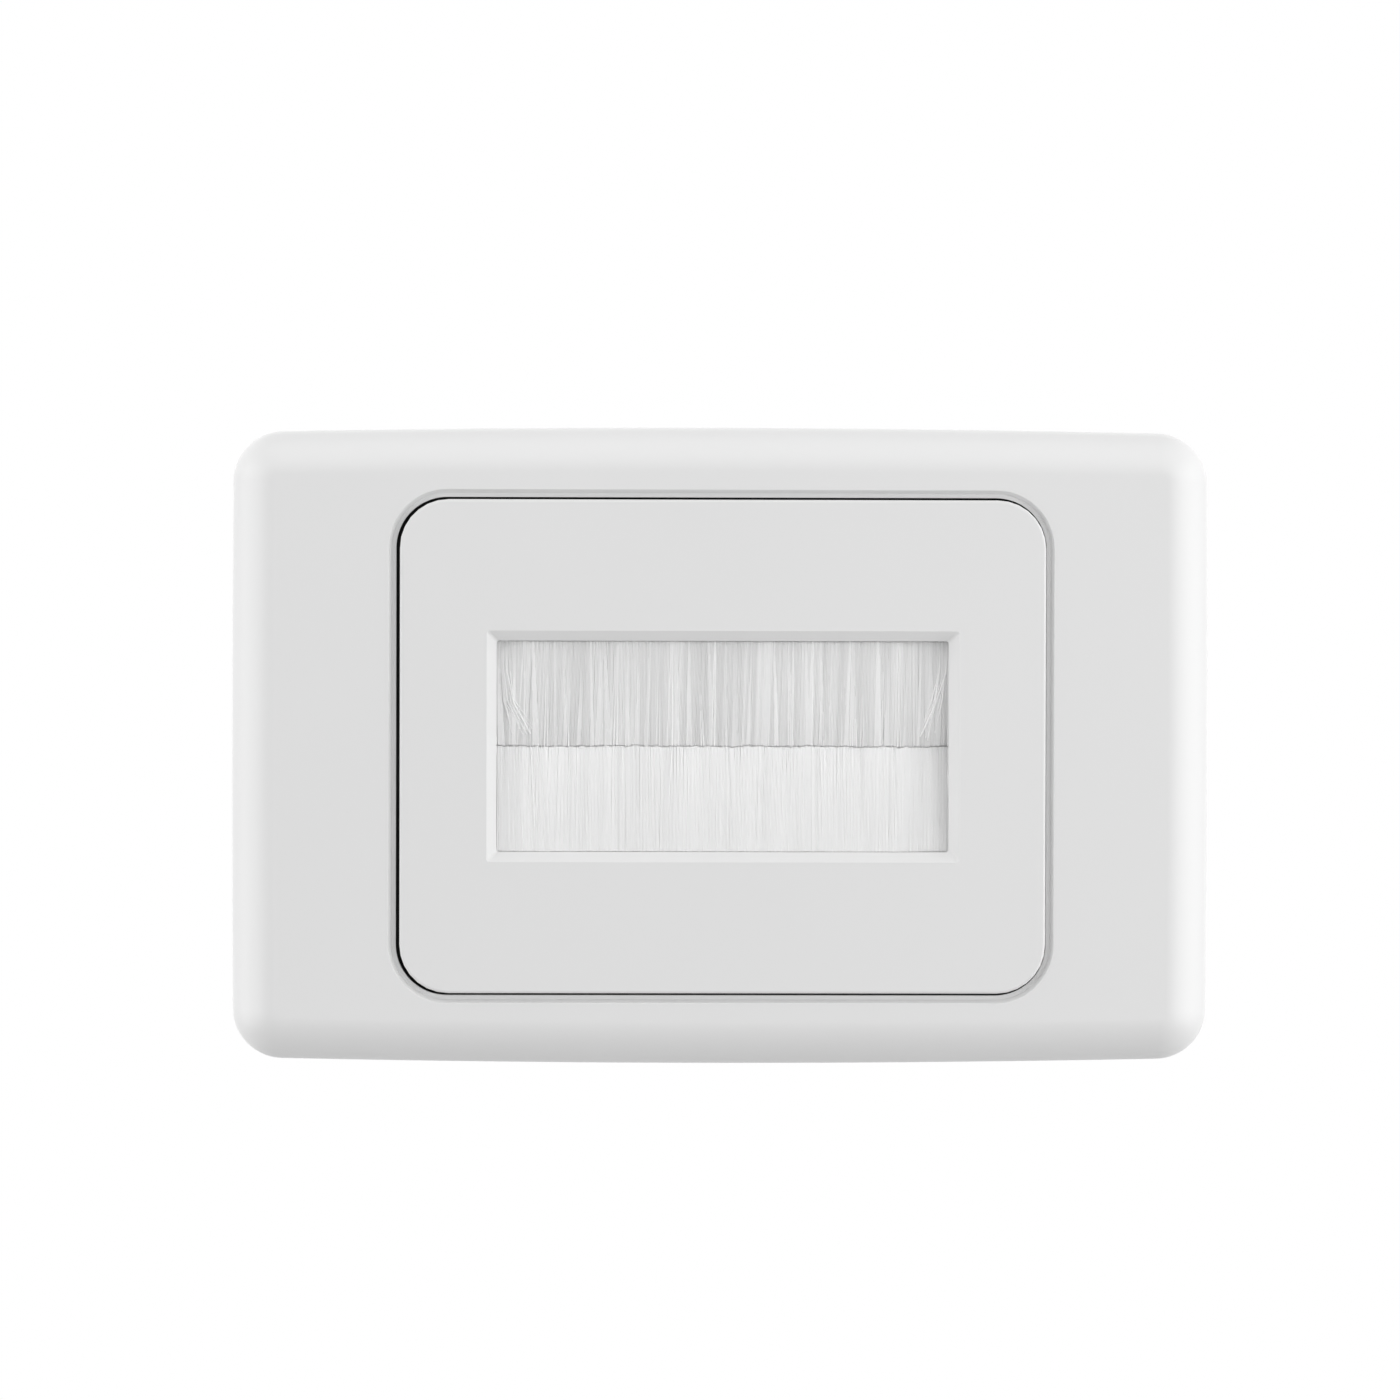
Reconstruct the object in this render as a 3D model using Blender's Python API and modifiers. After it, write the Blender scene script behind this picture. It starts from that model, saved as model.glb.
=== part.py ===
"""Brush wall plate for passing cables through a wall.

A clip-on surround hides the two fixing screws of a grid plate. Behind the grid plate's
aperture two brush strips meet tip to tip, each held in its channel by a clamp bar.
X runs along the plate, Z is up and the wall is the plane Y = 0, with the front at -Y.
A depth is a distance in front of the wall.
"""

import math
import random

import bmesh
import bpy
from mathutils import Matrix, Vector

MM = 0.001

# Fits
SEAT_GAP = 0.3 * MM
CUT_OVERRUN = 1.0 * MM
JOIN_OVERLAP = 0.5 * MM
WELD_DISTANCE = 0.01 * MM

# Driving sizes: the fixing screws' centres and the height of the aperture
FIXING_SPACING = 84.0 * MM
APERTURE_HEIGHT = 25.2 * MM

# Surround cover: borders, bowed sides and convex shoulder
PLATE_END_BORDER = 16.5 * MM
PLATE_LONG_BORDER = 8.65 * MM
CORNER_RADIUS = 5.9 * MM
LONG_SIDE_BOW = 0.68 * MM
SHORT_SIDE_BOW = 0.16 * MM
SHELL_WALL = 1.8 * MM
SHOULDER_WIDTH = 5.2 * MM
SHOULDER_HEIGHT = 5.6 * MM
SHOULDER_POWER = 1.8
SMALLEST_INNER_RADIUS = 1.0 * MM

# Surround cover: opening round the raised panel
REVEAL_GAP = 0.26 * MM
LEDGE_WIDTH = 0.5 * MM
LEDGE_SLOPE = 0.42 * MM
LEDGE_DROP = 0.8 * MM
LIP_WALL = 1.4 * MM
LIP_HEIGHT = 3.4 * MM

# Surround cover: clip arms and the notch for prying it off
ARM_OUTBOARD = 7.5 * MM
ARM_INSIDE_PANEL_TOP = 9.45 * MM
ARM_THICKNESS = 1.4 * MM
ARM_WIDTH = 7.0 * MM
BARB_REACH = 1.3 * MM
BARB_LAND = 0.25 * MM
BARB_NOSE_DEPTH = 0.4 * MM
ARM_FLEX_ROOM = 1.1 * MM
NOTCH_WIDTH = 8.0 * MM
NOTCH_HEIGHT = 1.5 * MM

# Grid plate: flange with its rear rim and ribs
GRID_SIDE_PLAY = 0.17 * MM
FLANGE_CLEARANCE = 0.5 * MM
FLANGE_FRONT = 3.2 * MM
FLANGE_THICKNESS = 1.6 * MM
FLANGE_RADIUS = 4.0 * MM
RIM_WIDTH = 2.0 * MM
RIB_WIDTH = 1.2 * MM
RIB_WALL_ROOM = 0.2 * MM
RIB_TO_ARM = 4.5 * MM
RIB_INSIDE_PANEL_END = 14.5 * MM

# Grid plate: raised panel and its aperture
FIXING_TO_PANEL = 3.45 * MM
PANEL_ABOVE_STRIP = 7.35 * MM
PANEL_RADIUS = 5.8 * MM
PANEL_PROUD = 0.3 * MM
PANEL_EDGE_ROUND = 0.35 * MM
PANEL_FRONT_WALL = 2.2 * MM
PANEL_SIDE_WALL = 2.0 * MM
APERTURE_RADIUS = 0.35 * MM
APERTURE_CHAMFER = 1.2 * MM

# Grid plate: fixing slots under the surround
SLOT_WIDTH = 4.0 * MM
SLOT_LENGTH = 8.0 * MM
PAD_MARGIN = 3.1 * MM
PAD_RISE = 0.6 * MM
SCALLOP_RADIUS = 3.9 * MM
SCALLOP_INTO_FRONT = 0.8 * MM

# Grid plate: what locates and carries the brush strips
BOSS_RADIUS = 2.6 * MM
PILOT_END_ROOM = 0.4 * MM
STOP_WALL = 1.0 * MM
STOP_LEG = 4.0 * MM
STOP_TOE = 0.5 * MM
STOP_HEIGHT = 3.9 * MM
STOP_INTO_BOSS = 0.3 * MM

# Brush strips: folded metal channel, core wire and bristles
STRIP_OVERLAP = 1.75 * MM
CHANNEL_HEIGHT = 6.0 * MM
CHANNEL_THICKNESS = 4.2 * MM
CHANNEL_SHEET = 0.5 * MM
CHANNEL_MOUTH = 2.6 * MM
CHANNEL_BEND = 0.5 * MM
MOUTH_SETBACK = 1.5 * MM
CORE_RADIUS = 0.6 * MM
BRISTLE_BARE_END = 0.6 * MM
BUNDLE_THICKNESS = 2.6 * MM
BUNDLE_ROOT = 0.9 * MM
BRISTLE_COLUMNS = 54
BRISTLE_ROWS = 3
BRISTLE_ROOT_GAP = 0.08 * MM
BRISTLE_TIP = 0.34 * MM
BRISTLE_LEAN = 0.16 * MM
TIP_LINE_GAP = 0.15 * MM
TIP_UNEVENNESS = 0.25 * MM

# Clamp bars and their self-tapping screws
BAR_END_ROOM = 0.4 * MM
BAR_END_MARGIN = 3.8 * MM
BAR_SIDE_MARGIN = 1.0 * MM
BAR_THICKNESS = 2.2 * MM
BAR_RADIUS = 1.5 * MM
COUNTERBORE_DEPTH = 1.2 * MM
SCREW_CORE_RADIUS = 1.15 * MM
SCREW_THREAD = 0.3 * MM
SCREW_LENGTH = 6.0 * MM
SCREW_TIP = 1.0 * MM
SCREW_POINT_RADIUS = 0.3 * MM
HEAD_WALL_ROOM = 0.4 * MM
HEAD_RADIUS = 2.5 * MM
HEAD_HEIGHT = 1.6 * MM
HEAD_RIM = 0.85 * MM
HEAD_FLAT_RADIUS = 1.5 * MM
RECESS_ARM = 1.35 * MM
RECESS_WIDTH = 0.7 * MM
RECESS_DEPTH = 0.9 * MM

# Fineness of the round forms
CORNER_STEPS = 7
LONG_EDGE_STEPS = 8
SHORT_EDGE_STEPS = 4
SHOULDER_STEPS = 7
INNER_SHOULDER_STEPS = 3
EDGE_ROUND_STEPS = 3
BEND_STEPS = 3
ROUND_SIDES = 20
SMALL_ROUND_SIDES = 16
SHARP_ANGLE = math.radians(32)

# Depths in front of the wall, stacked from the screw heads to the panel's face
HEAD_FRONT = HEAD_WALL_ROOM + HEAD_HEIGHT
HEAD_SEAT = HEAD_FRONT + SEAT_GAP
BAR_REAR = HEAD_SEAT - COUNTERBORE_DEPTH
BAR_FRONT = BAR_REAR + BAR_THICKNESS
BOSS_REAR = BAR_FRONT + SEAT_GAP
CHANNEL_REAR = BAR_FRONT + SEAT_GAP
CHANNEL_FRONT = CHANNEL_REAR + CHANNEL_THICKNESS
STRIP_DEPTH = (CHANNEL_REAR + CHANNEL_FRONT) / 2
PANEL_BACK = CHANNEL_FRONT + SEAT_GAP
PANEL_FRONT = PANEL_BACK + PANEL_FRONT_WALL
FACE_DEPTH = PANEL_FRONT - PANEL_PROUD
FLANGE_BACK = FLANGE_FRONT - FLANGE_THICKNESS
PAD_FRONT = FLANGE_FRONT + PAD_RISE

# Widths, from the fixing screws inwards to the aperture and outwards to the plate's ends
PLATE_WIDTH = FIXING_SPACING + 2 * PLATE_END_BORDER
PANEL_WIDTH = FIXING_SPACING - 2 * FIXING_TO_PANEL
BAR_LENGTH = PANEL_WIDTH - 2 * (PANEL_SIDE_WALL + BAR_END_ROOM)
SCREW_X = BAR_LENGTH / 2 - BAR_END_MARGIN
STRIP_LENGTH = 2 * (SCREW_X - BOSS_RADIUS + STOP_INTO_BOSS - STOP_WALL - SEAT_GAP)
BRISTLE_LENGTH = STRIP_LENGTH - 2 * BRISTLE_BARE_END
APERTURE_WIDTH = STRIP_LENGTH - 2 * STRIP_OVERLAP
ARM_X = FIXING_SPACING / 2 + ARM_OUTBOARD
LONG_RIB_X = PANEL_WIDTH / 2 - RIB_INSIDE_PANEL_END

# Heights, from the aperture outwards to the plate's long sides
MOUTH_Z = APERTURE_HEIGHT / 2 + MOUTH_SETBACK
CHANNEL_BACK_Z = MOUTH_Z + CHANNEL_HEIGHT
FOLD_RADIUS = CHANNEL_THICKNESS / 2 - CHANNEL_SHEET - SEAT_GAP
CORE_Z = CHANNEL_BACK_Z - CHANNEL_SHEET - SEAT_GAP - FOLD_RADIUS
BUNDLE_TOP_Z = MOUTH_Z - SEAT_GAP
BUNDLE_ROOT_Z = BUNDLE_TOP_Z - BUNDLE_ROOT
BAR_Z = MOUTH_Z + CHANNEL_HEIGHT / 2
BAR_HEIGHT = CHANNEL_HEIGHT + 2 * BAR_SIDE_MARGIN
PANEL_HEIGHT = 2 * (CHANNEL_BACK_Z + PANEL_ABOVE_STRIP + PANEL_SIDE_WALL)
PLATE_HEIGHT = PANEL_HEIGHT + 2 * PLATE_LONG_BORDER
ARM_Z = PANEL_HEIGHT / 2 - ARM_INSIDE_PANEL_TOP
SIDE_RIB_Z = ARM_Z - ARM_WIDTH / 2 - RIB_TO_ARM

# Outlines that fit one inside the other
OPENING_WIDTH = PANEL_WIDTH + 2 * REVEAL_GAP
OPENING_HEIGHT = PANEL_HEIGHT + 2 * REVEAL_GAP
OPENING_RADIUS = PANEL_RADIUS + REVEAL_GAP
FLANGE_WIDTH = PLATE_WIDTH - 2 * (SHELL_WALL + SHORT_SIDE_BOW + FLANGE_CLEARANCE)
FLANGE_HEIGHT = PLATE_HEIGHT - 2 * (SHELL_WALL + LONG_SIDE_BOW + FLANGE_CLEARANCE)


def new_material(name, colour, roughness, metallic=0.0):
    material = bpy.data.materials.new(name)
    material.use_nodes = True
    shader = material.node_tree.nodes["Principled BSDF"]
    shader.inputs["Base Color"].default_value = (*colour, 1.0)
    shader.inputs["Roughness"].default_value = roughness
    shader.inputs["Metallic"].default_value = metallic
    return material


def new_collection(name):
    collection = bpy.data.collections.new(name)
    bpy.context.scene.collection.children.link(collection)
    return collection


def new_empty(name, collection, location=(0, 0, 0), rotation=(0, 0, 0), parent=None):
    empty = bpy.data.objects.new(name, None)
    empty.location = location
    empty.rotation_euler = rotation
    empty.parent = parent
    collection.objects.link(empty)
    return empty


def new_object(name, bm, collection, material=None, parent=None):
    """An object from a bmesh, with its round faces shaded smooth."""
    mesh = bpy.data.meshes.new(name)
    bm.to_mesh(mesh)
    bm.free()
    mesh.shade_smooth()
    mesh.set_sharp_from_angle(angle=SHARP_ANGLE)
    if material:
        mesh.materials.append(material)
    piece = bpy.data.objects.new(name, mesh)
    piece.parent = parent
    collection.objects.link(piece)
    return piece


def new_cutter(name, bm, parent=None):
    cutter = new_object(name, bm, CUTTERS, parent=parent)
    cutter.hide_render = True
    cutter.display_type = "WIRE"
    return cutter


def boolean(target, operation, other):
    modifier = target.modifiers.new(f"{operation.lower()} {other.name}", "BOOLEAN")
    modifier.operation = operation
    modifier.object = other
    modifier.solver = "EXACT"


def cut(target, cutter):
    boolean(target, "DIFFERENCE", cutter)


def join(target, other):
    boolean(target, "UNION", other)


def rounded_rectangle(width, height, radius, long_steps=1, short_steps=1, x=0.0, z=0.0):
    """Points round a rectangle with arc corners, with its straight sides split into steps."""
    arcs = []
    for quarter, (side_x, side_z) in enumerate(((1, 1), (-1, 1), (-1, -1), (1, -1))):
        centre = Vector((x + side_x * (width / 2 - radius), z + side_z * (height / 2 - radius)))
        angles = [(quarter + step / CORNER_STEPS) * math.pi / 2 for step in range(CORNER_STEPS + 1)]
        arcs.append([centre + radius * Vector((math.cos(a), math.sin(a))) for a in angles])
    points = []
    for quarter, arc in enumerate(arcs):
        following = arcs[(quarter + 1) % 4][0]
        steps = short_steps if quarter % 2 else long_steps
        points += arc
        points += [arc[-1].lerp(following, step / steps) for step in range(1, steps)]
    return points


def slot_outline(width, length, x):
    """An upright slot with round ends, as the outline of a shortened rectangle."""
    end = width / 2
    points = []
    for side, start in ((1, 0.0), (-1, math.pi)):
        centre = Vector((x, side * (length / 2 - end)))
        for step in range(CORNER_STEPS * 2 + 1):
            angle = start + step / (CORNER_STEPS * 2) * math.pi
            points.append(centre + end * Vector((math.cos(angle), math.sin(angle))))
    return points


def plate_outline(inset):
    """The bowed outline of the plate, moved inwards."""
    outline = rounded_rectangle(
        PLATE_WIDTH - 2 * inset,
        PLATE_HEIGHT - 2 * inset,
        max(CORNER_RADIUS - inset, SMALLEST_INNER_RADIUS),
        LONG_EDGE_STEPS,
        SHORT_EDGE_STEPS,
    )
    half_width, half_height = PLATE_WIDTH / 2, PLATE_HEIGHT / 2
    return [
        Vector(
            (
                x * (1 - SHORT_SIDE_BOW / half_width * (z / half_height) ** 2),
                z * (1 - LONG_SIDE_BOW / half_height * (x / half_width) ** 2),
            )
        )
        for x, z in outline
    ]


def opening_outline(margin):
    """The outline of the surround's opening, moved outwards."""
    return rounded_rectangle(
        OPENING_WIDTH + 2 * margin,
        OPENING_HEIGHT + 2 * margin,
        OPENING_RADIUS + margin,
        LONG_EDGE_STEPS,
        SHORT_EDGE_STEPS,
    )


def at_depth(outline, depth):
    """A flat outline's points, placed at a depth in front of the wall."""
    return [Vector((x, -depth, z)) for x, z in outline]


def prism(corners, sweep):
    """A closed solid: a flat outline swept along a vector."""
    bm = bmesh.new()
    face = bm.faces.new([bm.verts.new(corner) for corner in corners])
    swept = bmesh.ops.extrude_face_region(bm, geom=[face])["geom"]
    verts = [item for item in swept if isinstance(item, bmesh.types.BMVert)]
    bmesh.ops.translate(bm, vec=sweep, verts=verts)
    bmesh.ops.recalc_face_normals(bm, faces=bm.faces)
    return bm


def slab(outline, rear, front):
    """A closed solid between two depths."""
    return prism(at_depth(outline, rear), Vector((0, rear - front, 0)))


def block(x_span, depth_span, z_span):
    """A plain box, from its spans along the plate, in depth and in height."""
    bm = bmesh.new()
    bmesh.ops.create_cube(bm, size=1)
    spans = (x_span, [-depth for depth in depth_span], z_span)
    bmesh.ops.scale(bm, vec=[abs(end - start) for start, end in spans], verts=bm.verts)
    bmesh.ops.translate(bm, vec=[(start + end) / 2 for start, end in spans], verts=bm.verts)
    return bm


def lofted(sections, ring=False):
    """A skin through unlike sections: a ring joins last to first, otherwise the ends are capped."""
    bm = bmesh.new()
    loops = [[bm.verts.new(point) for point in section] for section in sections]
    followers = loops[1:] + loops[:1] if ring else loops[1:]
    for loop, follower in zip(loops, followers):
        for index in range(len(loop)):
            bm.faces.new((loop[index - 1], loop[index], follower[index], follower[index - 1]))
    if not ring:
        bm.faces.new(loops[0])
        bm.faces.new(loops[-1])
    bmesh.ops.recalc_face_normals(bm, faces=bm.faces)
    return bm


def cylinder(radius, rear, front, x, z, sides=ROUND_SIDES):
    """A round solid across the plate, between two depths."""
    bm = bmesh.new()
    bmesh.ops.create_cone(
        bm, cap_ends=True, segments=sides, radius1=radius, radius2=radius, depth=front - rear
    )
    turned = Matrix.Rotation(math.pi / 2, 4, "X")
    centre = Matrix.Translation((x, -(rear + front) / 2, z))
    bmesh.ops.transform(bm, matrix=centre @ turned, verts=bm.verts)
    return bm


def rounded_path(corners, radius):
    """An open path with an arc at each of its right-angled corners."""
    path = [corners[0]]
    for before, corner, after in zip(corners, corners[1:], corners[2:]):
        incoming = (before - corner).normalized() * radius
        outgoing = (after - corner).normalized() * radius
        for step in range(BEND_STEPS + 1):
            turn = step / BEND_STEPS * math.pi / 2
            path.append(
                corner + incoming * (1 - math.sin(turn)) + outgoing * (1 - math.cos(turn))
            )
    return path + [corners[-1]]


def shoulder_profile(steps):
    """Inset and depth of the convex shoulder, from the top of the skirt to the face."""
    profile = []
    for step in range(steps + 1):
        angle = step / steps * math.pi / 2
        inset = SHOULDER_WIDTH * (1 - math.cos(angle) ** (2 / SHOULDER_POWER))
        rise = SHOULDER_HEIGHT * math.sin(angle) ** (2 / SHOULDER_POWER)
        profile.append((inset, FACE_DEPTH - SHOULDER_HEIGHT + rise))
    return profile


def clip_arm_outline(side):
    """The arm seen along Z, as x and depth, with its barb pointing away from the middle."""
    half = ARM_THICKNESS / 2
    barb_top = FLANGE_BACK - SEAT_GAP
    root = FACE_DEPTH - SHELL_WALL + JOIN_OVERLAP
    outline = (
        (-half, root),
        (-half, BARB_NOSE_DEPTH),
        (half, BARB_NOSE_DEPTH),
        (half + BARB_REACH, barb_top - BARB_LAND),
        (half + BARB_REACH, barb_top),
        (half, barb_top),
        (half, root),
    )
    return [(side * (ARM_X + x), depth) for x, depth in outline]


def make_surround(material):
    """The clip-on surround: a thin shell with a lipped opening and four clip arms."""
    inner_depth = FACE_DEPTH - SHELL_WALL
    ledge_depth = FACE_DEPTH - LEDGE_DROP
    lip_rear = FACE_DEPTH - LIP_HEIGHT
    outer = [at_depth(plate_outline(0), 0)]
    outer += [
        at_depth(plate_outline(inset), depth) for inset, depth in shoulder_profile(SHOULDER_STEPS)
    ]
    opening = [
        at_depth(opening_outline(margin), depth)
        for margin, depth in (
            (LEDGE_WIDTH + LEDGE_SLOPE, FACE_DEPTH),
            (LEDGE_WIDTH, ledge_depth),
            (0, ledge_depth),
            (0, lip_rear),
            (LIP_WALL, lip_rear),
            (LIP_WALL, inner_depth),
        )
    ]
    inner = [
        at_depth(plate_outline(inset + SHELL_WALL), depth - SHELL_WALL)
        for inset, depth in reversed(shoulder_profile(INNER_SHOULDER_STEPS))
    ]
    inner.append(at_depth(plate_outline(SHELL_WALL), 0))
    surround = new_object(
        "surround_cover", lofted(outer + opening + inner, ring=True), PARTS, material, ASSEMBLY
    )
    for side_x in (-1, 1):
        for side_z in (-1, 1):
            start = side_z * ARM_Z - ARM_WIDTH / 2
            corners = [Vector((x, -depth, start)) for x, depth in clip_arm_outline(side_x)]
            arm = prism(corners, Vector((0, 0, ARM_WIDTH)))
            join(surround, new_cutter(f"clip_arm_{side_x}_{side_z}", arm, ASSEMBLY))
    skirt_z = SHELL_WALL / 2 - PLATE_HEIGHT / 2
    notch = rounded_rectangle(
        NOTCH_WIDTH, SHELL_WALL + 2 * CUT_OVERRUN, SMALLEST_INNER_RADIUS, z=skirt_z
    )
    cut(surround, new_cutter("pry_notch", slab(notch, -CUT_OVERRUN, NOTCH_HEIGHT), ASSEMBLY))
    return surround


def panel_block():
    """The raised panel as a solid block with a small round along its front edge."""
    sections = [(0, 0)]
    for step in range(EDGE_ROUND_STEPS + 1):
        angle = step / EDGE_ROUND_STEPS * math.pi / 2
        inset = PANEL_EDGE_ROUND * (1 - math.cos(angle))
        sections.append((inset, PANEL_FRONT - PANEL_EDGE_ROUND * (1 - math.sin(angle))))
    return lofted(
        [
            at_depth(
                rounded_rectangle(
                    PANEL_WIDTH - 2 * inset, PANEL_HEIGHT - 2 * inset, PANEL_RADIUS - inset
                ),
                depth,
            )
            for inset, depth in sections
        ]
    )


def aperture_tool():
    """The aperture's cutter: straight through the wall, flared by the chamfer at the front."""
    flare = APERTURE_CHAMFER + CUT_OVERRUN
    sections = (
        (0, PANEL_BACK - CUT_OVERRUN),
        (0, PANEL_FRONT - APERTURE_CHAMFER),
        (flare, PANEL_FRONT + CUT_OVERRUN),
    )
    return lofted(
        [
            at_depth(
                rounded_rectangle(
                    APERTURE_WIDTH + 2 * margin, APERTURE_HEIGHT + 2 * margin, APERTURE_RADIUS
                ),
                depth,
            )
            for margin, depth in sections
        ]
    )


def channel_stop_outline(side_x, side_z):
    """The bracket that locates one end of a channel: a wall with a leg and a short toe."""
    end_x = STRIP_LENGTH / 2 + SEAT_GAP
    high_z = CHANNEL_BACK_Z + SEAT_GAP
    low_z = MOUTH_Z - SEAT_GAP
    outline = (
        (end_x - STOP_LEG, high_z),
        (end_x, high_z),
        (end_x, low_z),
        (end_x - STOP_TOE, low_z),
        (end_x - STOP_TOE, low_z - STOP_WALL),
        (end_x + STOP_WALL, low_z - STOP_WALL),
        (end_x + STOP_WALL, high_z + STOP_WALL),
        (end_x - STOP_LEG, high_z + STOP_WALL),
    )
    return [(side_x * x, side_z * z) for x, z in outline]


def make_flange(grid_plate):
    """The flange under the surround, with its rear rim, ribs and fixing pads."""
    flange = new_cutter(
        "flange",
        slab(rounded_rectangle(FLANGE_WIDTH, FLANGE_HEIGHT, FLANGE_RADIUS), 0, FLANGE_FRONT),
        GRID,
    )
    recess = rounded_rectangle(
        FLANGE_WIDTH - 2 * RIM_WIDTH, FLANGE_HEIGHT - 2 * RIM_WIDTH, FLANGE_RADIUS - RIM_WIDTH
    )
    cut(flange, new_cutter("flange_recess", slab(recess, -CUT_OVERRUN, FLANGE_BACK), GRID))
    join(grid_plate, flange)
    rib_depths = (RIB_WALL_ROOM, FLANGE_BACK + JOIN_OVERLAP)
    half_rib = RIB_WIDTH / 2
    side_span = (PANEL_WIDTH / 2 - JOIN_OVERLAP, FLANGE_WIDTH / 2 - RIM_WIDTH / 2)
    long_span = (PANEL_HEIGHT / 2 - JOIN_OVERLAP, FLANGE_HEIGHT / 2 - RIM_WIDTH / 2)
    for side_x in (-1, 1):
        pad = slot_outline(
            SLOT_WIDTH + 2 * PAD_MARGIN, SLOT_LENGTH + 2 * PAD_MARGIN, side_x * FIXING_SPACING / 2
        )
        join(grid_plate, new_cutter(f"fixing_pad_{side_x}", slab(pad, 0, PAD_FRONT), GRID))
        for side_z in (-1, 1):
            name = f"{side_x}_{side_z}"
            rib_x, rib_z = side_x * LONG_RIB_X, side_z * SIDE_RIB_Z
            across = block(
                [side_x * x for x in side_span], rib_depths, (rib_z - half_rib, rib_z + half_rib)
            )
            upright = block(
                (rib_x - half_rib, rib_x + half_rib), rib_depths, [side_z * z for z in long_span]
            )
            join(grid_plate, new_cutter(f"side_rib_{name}", across, GRID))
            join(grid_plate, new_cutter(f"long_rib_{name}", upright, GRID))


def make_strip_seats(grid_plate):
    """What carries the brush strips behind the panel: bosses for the screws, and end stops."""
    rooted = PANEL_BACK + JOIN_OVERLAP
    pilot_end = HEAD_FRONT + SCREW_LENGTH + PILOT_END_ROOM
    for side_x in (-1, 1):
        for side_z in (-1, 1):
            name = f"{side_x}_{side_z}"
            x, z = side_x * SCREW_X, side_z * BAR_Z
            stop = slab(
                channel_stop_outline(side_x, side_z), PANEL_BACK - STOP_HEIGHT, rooted
            )
            join(grid_plate, new_cutter(f"channel_stop_{name}", stop, GRID))
            boss = cylinder(BOSS_RADIUS, BOSS_REAR, rooted, x, z)
            join(grid_plate, new_cutter(f"boss_{name}", boss, GRID))
            pilot_radius = SCREW_CORE_RADIUS + SEAT_GAP
            pilot = cylinder(
                pilot_radius, BOSS_REAR - CUT_OVERRUN, pilot_end, x, z, SMALL_ROUND_SIDES
            )
            cut(grid_plate, new_cutter(f"pilot_{name}", pilot, GRID))


def make_grid_plate(material):
    """The grid plate: raised panel, flange, fixing slots and the seats of the brush strips."""
    grid_plate = new_object("grid_plate", panel_block(), PARTS, material, GRID)
    for side_x in (-1, 1):
        x = side_x * FIXING_SPACING / 2
        scallop_rear = (FLANGE_FRONT + PAD_FRONT) / 2
        scallop = cylinder(SCALLOP_RADIUS, scallop_rear, PANEL_BACK + SCALLOP_INTO_FRONT, x, 0)
        cut(grid_plate, new_cutter(f"screw_scallop_{side_x}", scallop, GRID))
    make_flange(grid_plate)
    hollow = rounded_rectangle(
        PANEL_WIDTH - 2 * PANEL_SIDE_WALL,
        PANEL_HEIGHT - 2 * PANEL_SIDE_WALL,
        PANEL_RADIUS - PANEL_SIDE_WALL,
    )
    cut(grid_plate, new_cutter("panel_hollow", slab(hollow, -CUT_OVERRUN, PANEL_BACK), GRID))
    make_strip_seats(grid_plate)
    cut(grid_plate, new_cutter("aperture", aperture_tool(), GRID))
    flex_side = ARM_THICKNESS / 2 + ARM_FLEX_ROOM
    barb_side = ARM_THICKNESS / 2 + FLANGE_CLEARANCE
    for side_x in (-1, 1):
        slot = slot_outline(SLOT_WIDTH, SLOT_LENGTH, side_x * FIXING_SPACING / 2)
        slot_cutter = slab(slot, -CUT_OVERRUN, PAD_FRONT + CUT_OVERRUN)
        cut(grid_plate, new_cutter(f"fixing_slot_{side_x}", slot_cutter, GRID))
        for side_z in (-1, 1):
            half_window = ARM_WIDTH / 2 + FLANGE_CLEARANCE
            window = block(
                (side_x * (ARM_X - flex_side), side_x * (ARM_X + barb_side)),
                (-CUT_OVERRUN, FLANGE_FRONT + CUT_OVERRUN),
                (side_z * ARM_Z - half_window, side_z * ARM_Z + half_window),
            )
            cut(grid_plate, new_cutter(f"arm_window_{side_x}_{side_z}", window, GRID))
    return grid_plate


def make_channel(name, material, parent):
    """A strip's folded channel: bent sheet, open along its mouth."""
    half = CHANNEL_THICKNESS / 2 - CHANNEL_SHEET / 2
    lip_z = MOUTH_Z + CHANNEL_SHEET / 2
    back_z = CHANNEL_BACK_Z - CHANNEL_SHEET / 2
    corners = [
        Vector((-STRIP_LENGTH / 2, -STRIP_DEPTH + y, z))
        for y, z in (
            (-CHANNEL_MOUTH / 2, lip_z),
            (-half, lip_z),
            (-half, back_z),
            (half, back_z),
            (half, lip_z),
            (CHANNEL_MOUTH / 2, lip_z),
        )
    ]
    bm = bmesh.new()
    verts = [bm.verts.new(point) for point in rounded_path(corners, CHANNEL_BEND)]
    edges = [bm.edges.new(pair) for pair in zip(verts, verts[1:])]
    swept = bmesh.ops.extrude_edge_only(bm, edges=edges)["geom"]
    far = [item for item in swept if isinstance(item, bmesh.types.BMVert)]
    bmesh.ops.translate(bm, vec=(STRIP_LENGTH, 0, 0), verts=far)
    bmesh.ops.recalc_face_normals(bm, faces=bm.faces)
    channel = new_object(name, bm, PARTS, material, parent)
    solidify = channel.modifiers.new("sheet", "SOLIDIFY")
    solidify.thickness = CHANNEL_SHEET
    solidify.offset = 0
    solidify.use_even_offset = True
    return channel


def make_core_wire(name, material, parent):
    """The wire that the bristles are folded round."""
    bm = bmesh.new()
    bmesh.ops.create_cone(
        bm,
        cap_ends=True,
        segments=SMALL_ROUND_SIDES,
        radius1=CORE_RADIUS,
        radius2=CORE_RADIUS,
        depth=STRIP_LENGTH - 2 * SEAT_GAP,
    )
    lying = Matrix.Rotation(math.pi / 2, 4, "Y")
    bmesh.ops.transform(
        bm, matrix=Matrix.Translation((0, -STRIP_DEPTH, CORE_Z)) @ lying, verts=bm.verts
    )
    return new_object(name, bm, PARTS, material, parent)


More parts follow.
